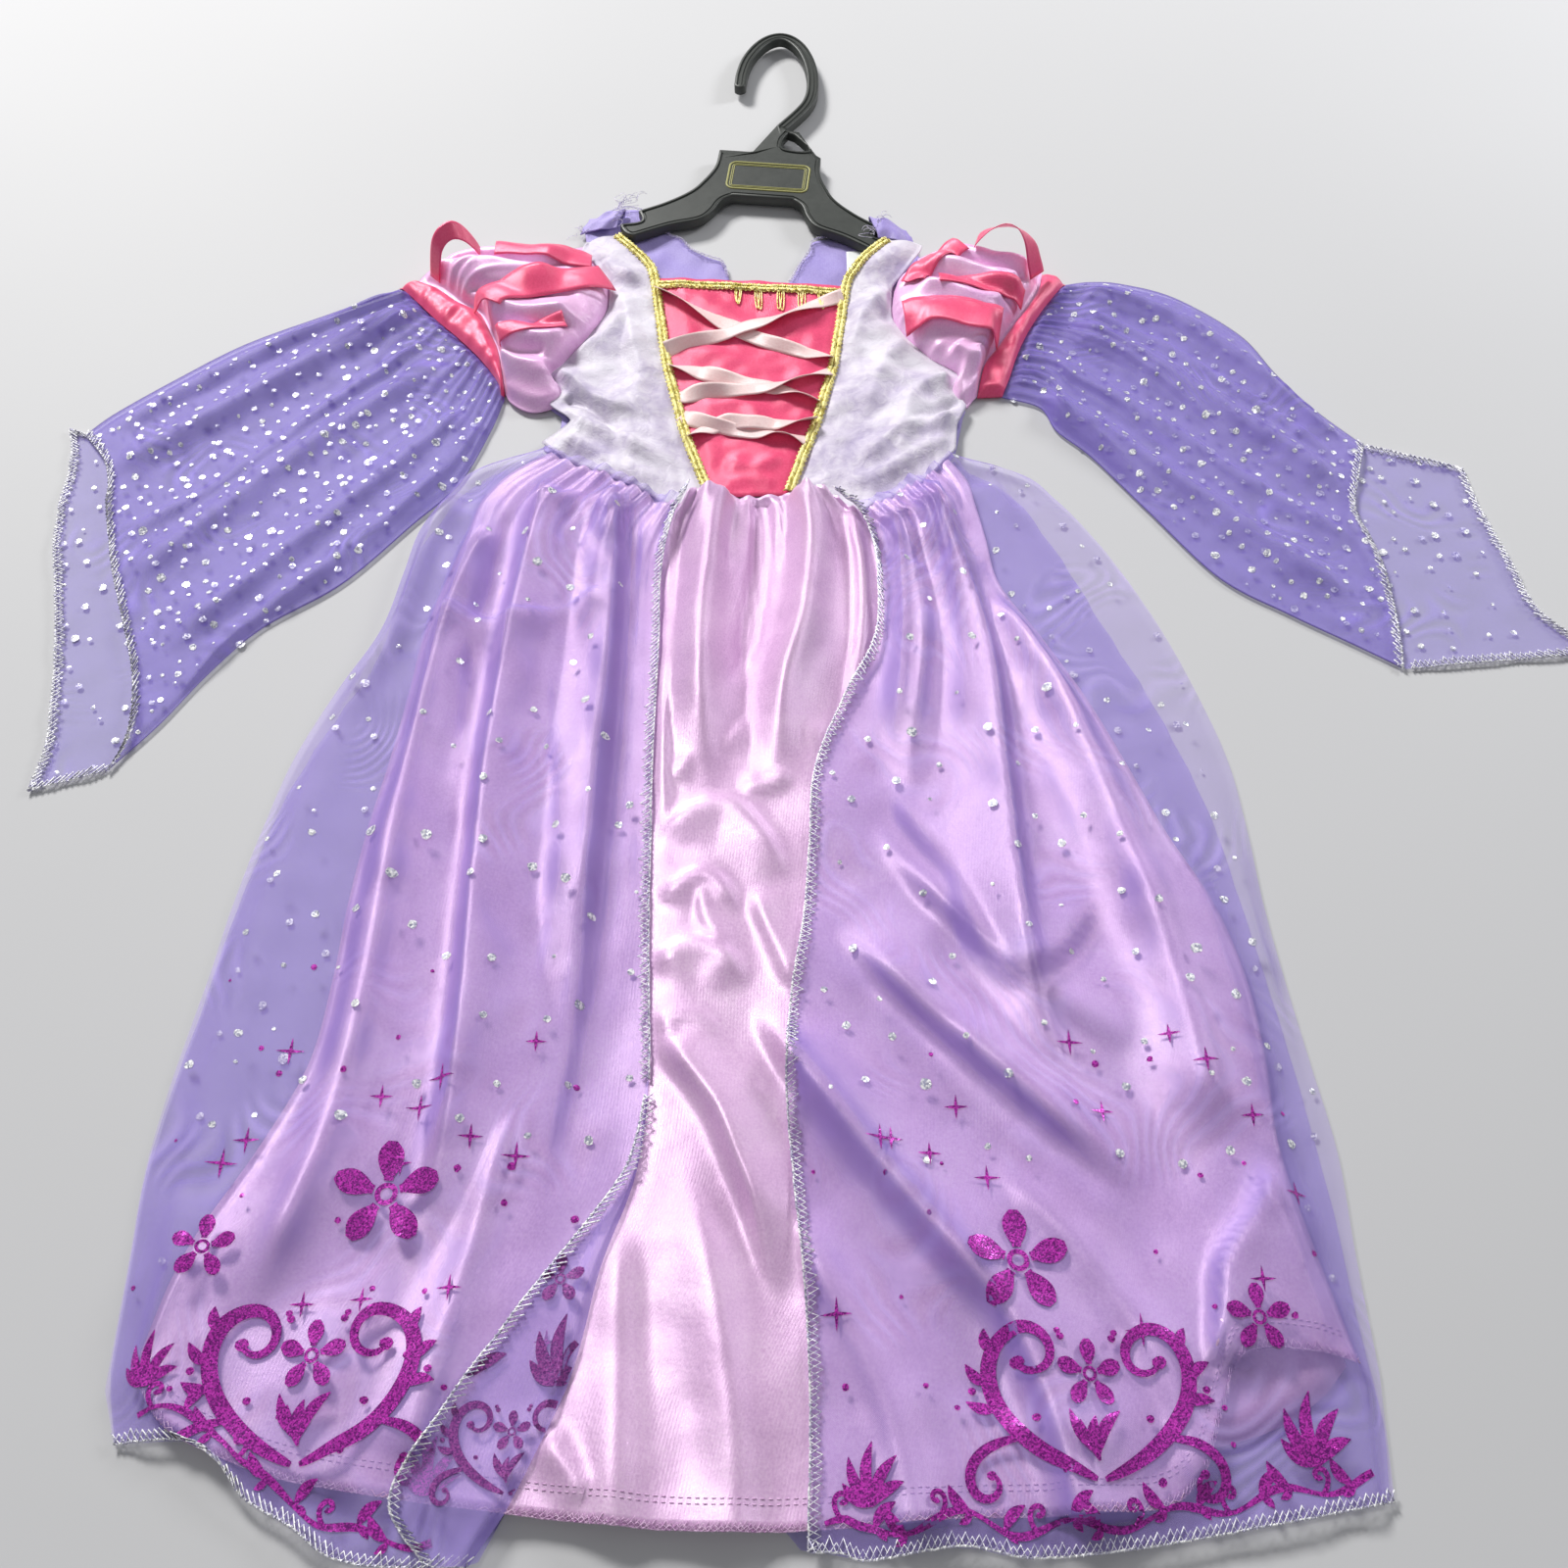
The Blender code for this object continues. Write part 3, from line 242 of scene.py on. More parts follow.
class Bag:  # gathers many small shapes into one mesh
    def __init__(self):
        self.points, self.faces = [], []

    def add(self, points, faces):
        first = len(self.points)
        self.points += [tuple(p) for p in points]
        self.faces += [tuple(first + k for k in face) for face in faces]

    def rod(self, line, radius, sides=4, closed=False, flat=1.0):  # a thread that follows a line
        line = np.array(line, float)
        way = unit(np.roll(line, -1, axis=0) - np.roll(line, 1, axis=0)) if closed else headings(line)
        side = unit(np.cross(way, (0, 0, 1.0)))
        top = np.cross(side, way)
        radius = np.broadcast_to(radius, len(line))[:, None]
        rings = []
        for k in range(sides):
            a = 2 * math.pi * (k + 0.5) / sides
            rings.append(line + radius * (math.cos(a) * side + flat * math.sin(a) * top))
        points = np.stack(rings, axis=1).reshape(-1, 3)
        count = len(line)
        faces = []
        for i in range(count if closed else count - 1):
            for k in range(sides):
                n, j = (k + 1) % sides, (i + 1) % count
                faces.append((i * sides + k, i * sides + n, j * sides + n, j * sides + k))
        if not closed:
            faces += [tuple(range(sides))[::-1], tuple((count - 1) * sides + k for k in range(sides))]
        self.add(points, faces)

    def strip(self, line, widths, height, lift, across=3):  # a flat stroke laid on a surface
        line = np.array(line, float)
        out = leftOf(headings(line)) * np.broadcast_to(widths, len(line))[:, None]
        points = np.stack([line + out * f for f in np.linspace(-0.5, 0.5, across)], axis=1).reshape(-1, 2)
        placed = [(x, y, height(x, y) + lift) for x, y in points]
        self.add(placed, gridFaces(len(line), across))

    def disc(self, x, y, radius, height, lift, sides=9, dome=0.1, seed=0):
        rng = np.random.default_rng(seed)
        middle = height(x, y)
        points = [(x, y, middle + lift + dome)]
        for k in range(sides):
            a = 2 * math.pi * k / sides
            r = radius * rng.uniform(0.82, 1.12)
            px, py = x + r * math.cos(a), y + r * math.sin(a)
            points.append((px, py, height(px, py) + lift))
        self.add(points, [(0, k + 1, (k + 1) % sides + 1) for k in range(sides)])

    def make(self, name, finish, replaces=(), smooth=True):
        # a point off the cloth lies under the floor, and its faces are dropped
        kept = [face for face in self.faces if min(self.points[k][2] for k in face) > 0]
        used = sorted({k for face in kept for k in face})
        number = {old: new for new, old in enumerate(used)}
        faces = [tuple(number[k] for k in face) for face in kept]
        return piece(name, [self.points[k] for k in used], faces, finish, replaces, smooth=smooth)


# Finishes

class Wire:  # one socket of a shader, so that its sums read as sums
    def __init__(self, tree, socket=None):
        self.tree, self.socket = tree, socket

    def node(self, kind, settings=None, links=None, out=0):
        made = self.tree.nodes.new(kind)
        for key, value in (settings or {}).items():
            if key == "stops":
                ramp = made.color_ramp
                while len(ramp.elements) < len(value):
                    ramp.elements.new(0.5)
                for stop, (place, colour) in zip(ramp.elements, value):
                    stop.position, stop.color = place, (*colour, 1.0)
            else:
                setattr(made, key, value)
        for key, value in (links or {}).items():
            if isinstance(value, Wire):
                self.tree.links.new(value.socket, made.inputs[key])
            else:
                made.inputs[key].default_value = value
        return Wire(self.tree, made.outputs[out])

    def sum(self, operation, a, b=0.0):
        return self.node("ShaderNodeMath", {"operation": operation}, {0: a, 1: b})

    def __add__(self, other):
        return self.sum("ADD", self, other)

    __radd__ = __add__

    def __sub__(self, other):
        return self.sum("SUBTRACT", self, other)

    def __rsub__(self, other):
        return self.sum("SUBTRACT", other, self)

    def __mul__(self, other):
        return self.sum("MULTIPLY", self, other)

    __rmul__ = __mul__

    def __pow__(self, other):
        return self.sum("POWER", self, other)

    def sine(self):
        return self.sum("SINE", self)

    def over(self, low, high):  # 0 below low, 1 above high, soft between
        links = {"Value": self, "From Min": low, "From Max": high}
        return self.node("ShaderNodeMapRange", {"interpolation_type": "SMOOTHSTEP"}, links)

    def between(self, a, b):  # mixes two colours by this value
        picked = {"data_type": "RGBA"}
        a = a if isinstance(a, Wire) else (*a, 1.0)
        b = b if isinstance(b, Wire) else (*b, 1.0)
        return self.node("ShaderNodeMix", picked, {0: self, 6: a, 7: b}, out=2)

    def noise(self, size, detail=2.0, rough=0.5, warp=0.0):  # size in metres
        links = {"Scale": 1.0 / size, "Detail": detail, "Roughness": rough, "Distortion": warp}
        return self.node("ShaderNodeTexNoise", None, {**links, "Vector": self.place()})

    def grains(self, size):  # small cells, each of its own random colour
        return self.node("ShaderNodeTexVoronoi", None, {"Scale": 1.0 / size, "Vector": self.place()}, out=1)

    def place(self):
        return self.node("ShaderNodeTexCoord", out=3)

    def axes(self, source):
        split = self.node("ShaderNodeSeparateXYZ", None, {0: source}).socket.node
        return [Wire(self.tree, split.outputs[k]) for k in range(3)]

    def threads(self):  # the cloth's own directions, in metres
        return self.axes(self.node("ShaderNodeUVMap", {"uv_map": "cloth"}))

    def steepness(self):
        return self.axes(self.node("ShaderNodeUVMap", {"uv_map": "steep"}))[0]

    def bump(self, height, depth, strength=1.0):
        links = {"Height": height, "Distance": depth, "Strength": strength}
        return self.node("ShaderNodeBump", None, links)


def finish(name, build, **fixed):
    made = bpy.data.materials.new(name)
    made.use_nodes = True
    tree = made.node_tree
    shader = tree.nodes["Principled BSDF"]
    for key, value in fixed.items():
        shader.inputs[key.replace("_", " ")].default_value = value
    for key, value in build(Wire(tree)).items():
        if isinstance(value, Wire):
            tree.links.new(value.socket, shader.inputs[key])
        else:
            shader.inputs[key].default_value = value
    return made


def satinLook(deep, mid, light, rough, streak=0.10, weave=0.00028):
    def build(pen):
        u, v = pen.threads()[:2]
        cloud = pen.noise(0.045, 3.0, 0.55, 0.4)
        grain = pen.noise(0.0012, 2.0, 0.6)
        tone = pen.node("ShaderNodeValToRGB", {"stops": [(0.25, deep), (0.5, mid), (0.8, light)]},
                        {0: cloud * 0.55 + grain * 0.45})
        rib = (v * (2 * math.pi / weave)).sine() * 0.5 + (u * (2 * math.pi / (weave * 5))).sine() * 0.25
        return {"Base Color": tone, "Roughness": rough - streak * 0.5 + streak * grain,
                "Normal": pen.bump(rib * 0.35 + pen.noise(0.007, 3.0, 0.6) * 2.2, 0.0002, 0.5)}
    return build


def organzaLook(dark, bright, shaded, cover):
    def build(pen):
        u, v = pen.threads()[:2]
        drift = pen.noise(0.09, 1.5, 0.4)
        ripple = ((u * 0.25 + v * 0.15 + drift * 0.11) * (2 * math.pi / 0.0045)).sine()
        moire = ripple * pen.noise(0.05, 1.0).over(0.48, 0.66)
        warp = (u * (2 * math.pi / 0.0006)).sine() * (v * (2 * math.pi / 0.0006)).sine()
        tone = (moire * 0.4 + 0.45 + pen.noise(0.03, 3.0) * 0.2).between(dark, bright)
        # painted shade: steep cloth in the folds is painted towards the shaded colour, and its cover rises
        # there too, for the doubled cloth of a fold
        steep = pen.steepness().over(0.01, 0.28)
        tone = (steep * 0.6).between(tone, shaded)
        return {"Base Color": tone, "Alpha": cover + warp * 0.04 + moire * 0.07 + steep * 0.28,
                "Roughness": 0.4 + pen.noise(0.004) * 0.2, "Normal": pen.bump(warp, 0.0001, 0.4)}
    return build


def velvetLook(pen):
    crush = pen.noise(0.05, 4.0, 0.5, 1.2)
    streak = pen.noise(0.009, 4.0, 0.55, 1.6)
    value = crush * 0.72 + streak * 0.28
    stops = [(0.32, (0.38, 0.32, 0.50)), (0.44, (0.54, 0.48, 0.62)), (0.52, (0.66, 0.61, 0.71)),
             (0.66, (0.75, 0.72, 0.80))]
    tone = pen.node("ShaderNodeValToRGB", {"stops": stops}, {0: value})
    return {"Base Color": tone, "Roughness": 0.72 - 0.3 * value,
            "Normal": pen.bump(value + pen.noise(0.0009) * 0.15, 0.0022, 0.7)}


def glitterLook(dark, bright, size=0.00055):
    def build(pen):
        cell = pen.grains(size)
        r, g = pen.axes(cell)[:2]
        return {"Base Color": r.over(0.1, 0.9).between(dark, bright), "Roughness": 0.16 + 0.5 * g,
                "Normal": pen.bump(g + r * 0.5, 0.0006, 0.9)}
    return build


def threadLook(dark, bright, size=0.0007):
    def build(pen):
        value = pen.noise(size, 2.0, 0.7)
        cell = pen.axes(pen.grains(size * 1.6))[0]
        return {"Base Color": (cell * 0.7 + value * 0.3).over(0.2, 0.75).between(dark, bright),
                "Roughness": 0.22 + 0.35 * cell, "Normal": pen.bump(value, 0.0003, 0.6)}
    return build


def plasticLook(pen):
    cast = pen.noise(0.012, 3.0)
    return {"Base Color": cast.between((0.022, 0.026, 0.023), (0.045, 0.05, 0.045)),
            "Roughness": 0.36 + 0.16 * pen.noise(0.003, 4.0),
            "Normal": pen.bump(pen.noise(0.0006, 3.0, 0.6) + pen.noise(0.01) * 0.8, 0.00012, 0.5)}


def goldFrameLook(pen):
    return {"Base Color": pen.noise(0.001).between((0.20, 0.20, 0.06), (0.42, 0.40, 0.14)), "Roughness": 0.5}


def labelLook(pen):
    rib = (pen.threads()[1] * (2 * math.pi / 0.0007)).sine()
    return {"Base Color": pen.noise(0.004).between((0.78, 0.82, 0.82), (0.90, 0.92, 0.90)), "Roughness": 0.5,
            "Normal": pen.bump(rib, 0.0001, 0.5)}


satin = finish(
    "orchidSatin", satinLook((0.58, 0.32, 0.60), (0.74, 0.47, 0.74), (0.88, 0.66, 0.86), 0.38, 0.24),
    Sheen_Weight=0.2, Sheen_Roughness=0.35, Specular_IOR_Level=0.9, Metallic=0.2)
lilacSatin = finish(
    "lilacSatin", satinLook((0.78, 0.34, 0.74), (0.92, 0.52, 0.86), (1.0, 0.72, 0.96), 0.34, 0.16),
    Sheen_Weight=0.2, Specular_IOR_Level=0.9, Metallic=0.1)
pinkSatin = finish(
    "hotPinkSatin", satinLook((0.70, 0.03, 0.13), (0.87, 0.06, 0.19), (0.93, 0.14, 0.28), 0.36),
    Sheen_Weight=0.15, Specular_IOR_Level=0.8, Metallic=0.1)
laceRibbon = finish(
    "peachRibbon", satinLook((0.80, 0.50, 0.50), (0.90, 0.66, 0.65), (0.96, 0.80, 0.78), 0.34),
    Sheen_Weight=0.2)
lavender = finish(
    "lavenderReverse", satinLook((0.26, 0.20, 0.55), (0.36, 0.29, 0.66), (0.47, 0.40, 0.76), 0.5),
    Sheen_Weight=0.2)
velvet = finish("crushedVelvet", velvetLook, Sheen_Weight=0.7, Sheen_Roughness=0.4)
# one violet organza in two copies: the fronts' copy is painted lighter, as painted light, while the darker
# copy dresses the back layer and the bells; the third colour of each is the painted shade of its steep folds
organza = finish(
    "violetOrganza", organzaLook((0.20, 0.13, 0.60), (0.35, 0.25, 0.90), (0.16, 0.10, 0.48), 0.36),
    Sheen_Weight=0.3, Sheen_Roughness=0.3)
litFrontOrganza = finish(
    "litOrganza", organzaLook((0.38, 0.25, 0.78), (0.60, 0.46, 1.0), (0.20, 0.12, 0.56), 0.30),
    Sheen_Weight=0.4, Sheen_Roughness=0.3)
silverGlitter = finish("silverGlitter", glitterLook((0.34, 0.34, 0.46), (1.0,) * 3, 0.0009), Metallic=0.3)
magentaGlitter = finish("magentaGlitter", glitterLook((0.16, 0.008, 0.18), (0.62, 0.04, 0.52)), Metallic=0.35)
dimGlitter = finish("glitterReverse", glitterLook((0.14, 0.03, 0.20), (0.34, 0.07, 0.34)), Metallic=0.2)
silverThread = finish("silverThread", threadLook((0.46, 0.44, 0.60), (1.0,) * 3), Metallic=0.2)
lilacThread = finish("lilacThread", threadLook((0.55, 0.30, 0.55), (0.80, 0.56, 0.78)), Metallic=0.0)
goldThread = finish("goldThread", threadLook((0.56, 0.46, 0.08), (1.0, 0.92, 0.42), 0.0009), Metallic=0.35)
paleThread = finish("frayedThread", threadLook((0.46, 0.40, 0.66), (0.80, 0.76, 0.88)))
plastic = finish("hangerPlastic", plasticLook)
goldFrame = finish("plateFrame", goldFrameLook)
labelCloth = finish("wovenLabel", labelLook)
print("finishes made")


# The skirt's plan

skirt = dict(
    # share of the way down, then x of the organza's left side, the satin's, the two front edges, the satin's
    # right
    # side and the organza's
    rows=[
        (0.00, -156, -150, -70, 8, 73, 78), (0.03, -190, -170, -77, 21, 82, 113),
        (0.07, -205, -184, -82, 28, 86, 131), (0.12, -217, -190, -84, 30, 90, 147),
        (0.18, -222, -197, -83, 28, 94, 162), (0.26, -229, -205, -83, 10, 114, 178),
        (0.34, -246, -208, -83, -4, 133, 190), (0.42, -260, -212, -82, -7, 148, 199),
        (0.50, -268, -217, -81, -10, 162, 202), (0.58, -274, -220, -79, -16, 179, 203),
        (0.66, -278, -221, -77, -18, 188, 206), (0.74, -283, -225, -80, -15, 190, 210),
        (0.82, -286, -240, -92, -11, 189, 214), (0.91, -284, -262, -102, -9, 196, 213),
        (1.00, -282, -272, -122, -10, 205, 213)],
    lastRow=(-274, -264, -134, -10, 203, 209),
    waist=[(-160, 84), (-156, 80), (-140, 64), (-115, 50), (-92, 37), (-76, 28), (-60, 36), (-38, 38),
           (-16, 38), (4, 33), (20, 24), (34, 32), (46, 40), (60, 50), (78, 75)],
    satinHem=[(-284, -426), (-272, -420), (-255, -438), (-234, -448), (-200, -458), (-125, -468), (-60, -474),
              (-10, -474), (45, -470), (90, -469), (130, -463), (150, -430), (160, -412), (190, -411),
              (213, -418)],
    backSatinHem=[(-275, -412), (-250, -436), (-200, -452), (-60, -468), (60, -465), (150, -452), (186, -438),
                  (205, -420)],
    organzaHem=[(-276, -444), (-245, -443), (-232, -450), (-220, -463), (-200, -473), (-180, -484),
                (-134, -486), (-10, -481), (10, -484), (46, -479), (72, -483), (110, -480), (162, -472),
                (209, -464)],
    columns=(8, 60, 44, 68, 8),
    rowCount=150, hemRows=8,
    satinBase=4.6, backHeight=2.4, organzaBack=0.9, gap=0.7,
)

count = skirt["rowCount"]
table = np.array(skirt["rows"], float)
down = np.linspace(0, 1, count) ** 1.12
bounds = smoothRows(table[:, 0], table[:, 1:], down)
hemLines = [bounds[-1] + (np.array(skirt["lastRow"]) - bounds[-1]) * k / skirt["hemRows"]
            for k in range(1, skirt["hemRows"] + 1)]
bounds = np.vstack([bounds, hemLines])
xs = []
for k, columns in enumerate(skirt["columns"]):
    f = np.arange(columns) / columns
    xs.append(bounds[:, k:k + 1] * (1 - f) + bounds[:, k + 1:k + 2] * f)
x = np.hstack(xs + [bounds[:, -1:]])
waistY = heightAlong(skirt["waist"], x[0]) - 0.5
hemY = heightAlong(skirt["satinHem"], x[count - 1])
plainHem = [p for p in skirt["satinHem"] if not 140 < p[0] < 200] + [(160, -455), (190, -436)]
evenHemY = heightAlong(sorted(plainHem), x[count - 1])
lastY = heightAlong(skirt["organzaHem"], x[-1])
y = waistY + (evenHemY - waistY) * down[:, None]
y = np.vstack([y] + [(evenHemY + (lastY - evenHemY) * k / skirt["hemRows"])[None] for k in range(1, 9)])
ends = np.concatenate([[0], np.cumsum(skirt["columns"])])
satinFrom, leftEdge, rightEdge, satinTo = ends[1:5]  # columns
satinY = waistY + (hemY - waistY) * down[:, None]
rowShare = np.concatenate([down, np.full(skirt["hemRows"], 1.0)])[:, None]
walked = rowWalk(np.dstack([x, y]))


def gathers(first, last, number, height, length, seed, width=4.2):
    # gathers at the waist, uneven in height, width and length, that run down along the cloth
    rng = np.random.default_rng(seed)
    total = np.zeros(x.shape)
    places = first + (np.arange(number) + rng.uniform(0.15, 0.85, number)) / number * (last - first)
    for place in places:
        low = int(place)
        centre = walked[:, low] * (1 - place + low) + walked[:, low + 1] * (place - low)
        drift = 3 * np.sin(rowShare * rng.uniform(5, 12) + rng.uniform(0, 6)) * rowShare
        far = walked - centre[:, None] + drift
        wide = width * rng.uniform(0.7, 1.3) * (1 + 3.0 * rowShare)
        fade = np.exp(-(rowShare / (length * rng.uniform(0.35, 1.6))) ** 1.3)
        total = np.maximum(total, height * rng.uniform(0.45, 1.0) * fade * np.exp(-(far / wide) ** 2))
    return total


satinFolds = [  # path, half width on the left of its way, on the right, height, fade at each end
    ([(-58, 36), (-59, -15), (-61, -54), (-60, -110), (-52, -170)], 13, 15, 14.5, (0.02, 0.5)),
    ([(-7, 36), (-5, -8), (-9, -54), (-19, -92), (-24, -160)], 14, 11, 14.5, (0.02, 0.5)),
    ([(-31, 36), (-31, -1), (-34, -35), (-38, -64), (-44, -96)], 3.8, 4.2, -8.5, (0.02, 0.4)),
    ([(-76, 30), (-78, -30), (-78, -110), (-75, -200)], 4, 6, 5.0, (0.03, 0.4)),
    ([(18, 24), (22, -20), (20, -70), (10, -110)], 5, 5, 6.0, (0.03, 0.4)),
    ([(-46, 36), (-47, 10), (-50, -30)], 2.4, 3.0, -2.4, (0.02, 0.5)),
    ([(-18, 36), (-18, 12), (-20, -20)], 2.4, 3.0, -2.4, (0.02, 0.5)),
    ([(-80, -110), (-60, -90), (-44, -62)], 3, 12, 3.2, (0.2, 0.4)),
    ([(-28, -96), (-12, -112), (2, -138)], 12, 4, 3.0, (0.2, 0.4)),
    ([(-78, -150), (-62, -132), (-46, -122), (-34, -100)], 3.5, 11, 3.4, (0.2, 0.4)),
    ([(-80, -182), (-66, -166), (-46, -160), (-30, -176), (-16, -204)], 4, 13, 3.8, (0.2, 0.3)),
    ([(-44, -146), (-28, -150), (-12, -140)], 7, 4, 2.6, (0.3, 0.3)),
    ([(-78, -214), (-62, -200), (-50, -202), (-38, -222)], 4, 10, 3.2, (0.2, 0.3)),
    ([(-60, -196), (-54, -222), (-40, -244)], 9, 4, 2.6, (0.3, 0.3)),
    ([(-80, -248), (-64, -236), (-48, -238), (-34, -256)], 4, 12, 3.6, (0.2, 0.3)),
    ([(-34, -206), (-24, -232), (-12, -262)], 11, 4, 3.4, (0.2, 0.3)),
    ([(-78, -276), (-60, -270), (-40, -282)], 4, 10, 2.8, (0.2, 0.3)),
    ([(-75, -277), (-61, -295), (-48, -313), (-39, -334), (-31, -354), (-20, -396)], 18, 4, 8.0, (0.15, 0.4)),
    ([(-66, -330), (-54, -360), (-44, -400), (-38, -450), (-36, -492)], 9, 16, 4.5, (0.3, 0.01)),
    ([(-90, -350), (-84, -400), (-82, -466), (-82, -494)], 8, 12, 3.5, (0.3, 0.01)),
    ([(-112, -438), (-100, -452), (-92, -464)], 4, 8, 4.0, (0.3, 0.1)),
    ([(-110, 36), (-108, -60), (-110, -160), (-112, -290)], 5, 20, 9.0, (0.03, 0.3)),
    ([(-148, 44), (-158, -40), (-163, -160), (-160, -300), (-170, -400)], 24, 5, 10.0, (0.03, 0.3)),
    ([(-186, 20), (-200, -120), (-206, -300), (-232, -400)], 10, 14, 8.0, (0.05, 0.1)),
    ([(-130, -300), (-146, -380), (-160, -450)], 6, 12, 4.5, (0.2, 0.05)),
    ([(44, 24), (52, -40), (48, -100), (38, -170)], 8, 13, 8.0, (0.03, 0.5)),
    ([(60, 36), (84, -60), (88, -160), (92, -250), (110, -340)], 5, 18, 9.5, (0.03, 0.3)),
    ([(96, -20), (126, -120), (150, -220), (166, -330)], 12, 16, 8.5, (0.1, 0.1)),
    ([(-34, -262), (0, -312), (40, -362), (72, -404), (88, -460), (92, -492)], 20, 6, 9.0, (0.15, 0.03)),
    ([(-30, -330), (-4, -380), (20, -430), (28, -468), (30, -494)], 12, 7, 4.5, (0.3, 0.01)),
    ([(4, -226), (50, -274), (96, -318), (132, -350)], 18, 5, 8.0, (0.2, 0.3)),
    ([(20, -170), (60, -222), (100, -262), (140, -290)], 14, 5, 6.0, (0.3, 0.3)),
    ([(60, -330), (100, -372), (130, -420), (136, -460)], 12, 7, 4.5, (0.3, 0.05)),
    ([(148, -413), (153, -394), (157, -377), (173, -356), (186, -333)], 3, 22, 6.5, (0.01, 0.25)),
]
organzaFolds = [
    ([(-206, -40), (-176, -54), (-150, -54), (-126, -46), (-102, -34)], 2.6, 16, 8.0, (0.2, 0.15)),
    ([(-200, 50), (-214, -10), (-234, -110), (-252, -200), (-262, -330), (-262, -430)], 14, 11, 8.5,
     (0.05, 0.1)),
    ([(-256, -98), (-236, -104), (-214, -104)], 4, 6, 3.5, (0.3, 0.3)),
    ([(-106, 28), (-104, -100), (-108, -250), (-124, -380)], 3, 10, 6.5, (0.03, 0.2)),
    ([(-94, 30), (-92, -60), (-92, -170), (-92, -290)], 3, 4, 3.5, (0.03, 0.3)),
    ([(-176, 44), (-182, -80), (-176, -220), (-186, -380)], 5, 12, 5.0, (0.05, 0.2)),
    ([(-140, 0), (-134, -80), (-122, -200), (-130, -330)], 12, 5, 4.5, (0.2, 0.3)),
    ([(-222, -60), (-234, -180), (-240, -320), (-244, -430)], 6, 8, 4.0, (0.2, 0.1)),
    ([(-150, -260), (-168, -340), (-186, -430), (-190, -480)], 5, 12, 4.5, (0.3, 0.05)),
    ([(28, -146), (44, -176), (60, -204), (66, -236), (82, -250), (102, -242), (118, -222), (132, -198)],
     14, 4, 8.0, (0.15, 0.15)),
    ([(38, 32), (42, -30), (40, -80), (34, -142)], 4.5, 7, 6.5, (0.03, 0.3)),
    ([(26, 26), (28, -30), (22, -80)], 3, 4, 4.5, (0.03, 0.4)),
    ([(62, 40), (72, -60), (66, -150)], 6, 9, 5.0, (0.03, 0.4)),
    ([(86, 50), (120, -20), (150, -110), (172, -220), (184, -340), (190, -440)], 10, 12, 7.5, (0.03, 0.1)),
    ([(110, 40), (158, -60), (190, -180), (202, -300)], 8, 10, 5.0, (0.05, 0.2)),
    ([(-32, -266), (0, -310), (34, -356), (72, -402)], 4, 12, 5.5, (0.2, 0.2)),
    ([(-14, -226), (34, -280), (84, -330), (130, -372)], 4, 12, 5.0, (0.2, 0.3)),
    ([(100, -110), (120, -170), (130, -240)], 4, 9, 4.0, (0.3, 0.3)),
    ([(20, -420), (70, -440), (130, -430)], 4, 10, 3.0, (0.3, 0.3)),
]


def pile(table, xx, yy):  # the highest ridge at each point, less the deepest crease
    every = np.array([fold(xx, yy, *row) for row in table])
    return every.max(axis=0) + every.min(axis=0)


inSatin = np.zeros(x.shape)
inSatin[:count, satinFrom:satinTo + 1] = 1
sideFar = np.minimum(walked - walked[:, [satinFrom]], walked[:, [satinTo]] - walked)
nearSide = ease(sideFar / 14)


def satinHeight(xx, yy):
    soft = waves(xx, yy, 62, 11, lean=0.1, spread=0.25) * 0.6 + waves(xx, yy, 24, 12, spread=0.5) * 0.12
    return 1.25 * pile(satinFolds, xx, yy) + 1.4 * soft + 1.0


satinGathers = gathers(satinFrom, satinTo, 30, 7.5, 0.06, 3, 4.4) * (0.3 + 0.7 * nearSide)
satinZ = np.maximum(skirt["satinBase"] + nearSide * satinHeight(x, y) + satinGathers, 3.6)
frontFolds = nearSide * satinHeight(x, np.vstack([satinY, y[count:]])) + satinGathers
frontZ = skirt["satinBase"] + frontFolds[:count]
centreGrid = np.dstack([x[:count], satinY, np.maximum(frontZ, 3.6)])[:, satinFrom:satinTo + 1]
satinTree = surfaceOf(centreGrid)

under = np.where(inSatin > 0, satinZ, 1.7)
middle = slice(satinFrom + 1, satinTo)
under[count:, middle] = np.linspace(satinZ[count - 1, middle], 3.2, skirt["hemRows"] + 1)[1:]
bridge = np.maximum(blur(under, 14), under)
organzaZ = bridge + skirt["gap"] + pile(organzaFolds, x, y)
organzaZ += gathers(0, leftEdge, 21, 8.0, 0.09, 5, 5.4)
organzaZ += gathers(rightEdge, ends[-1], 21, 8.0, 0.09, 6, 5.4)
organzaZ += 0.6 * (1 + waves(x, y, 30, 21, lean=0.1, spread=0.3)) * ease(rowShare / 0.1)
puffed = fold(x, y, [(-170, 60), (-130, 20), (-112, -20)], 26, 26, 1.0)
puffed = puffed + fold(x, y, [(60, 50), (52, 0), (50, -40)], 22, 22, 1.0)
organzaZ += 1.6 * puffed * (waves(x, y, 21, 23) + 0.6 * waves(x, y, 10, 24))
fromEdge = ease(np.minimum(walked, walked[:, -1:] - walked) / 9)
organzaZ = 1.6 + (organzaZ - 1.6) * fromEdge
organzaZ[count:] = np.minimum(organzaZ[count:], 7.0)  # the hem lies low
organzaZ = blur(organzaZ, 1)
satinBelow = np.array([[drop(satinTree, px, py) for px, py in zip(*row)] for row in zip(x, y)])
satinBelow = np.maximum(satinBelow, np.roll(satinBelow, 1, axis=0))
organzaZ = np.maximum(organzaZ, satinBelow + 0.8)
organzaGrid = np.dstack([x, y, organzaZ])
print("skirt laid out")


# Skirt pieces

satinFront = gridPiece("satinFront", centreGrid, satin, ["satin_front"], thick=0.7)
cloth(satinFront, (0.56, 0.50), 2, 0.84)

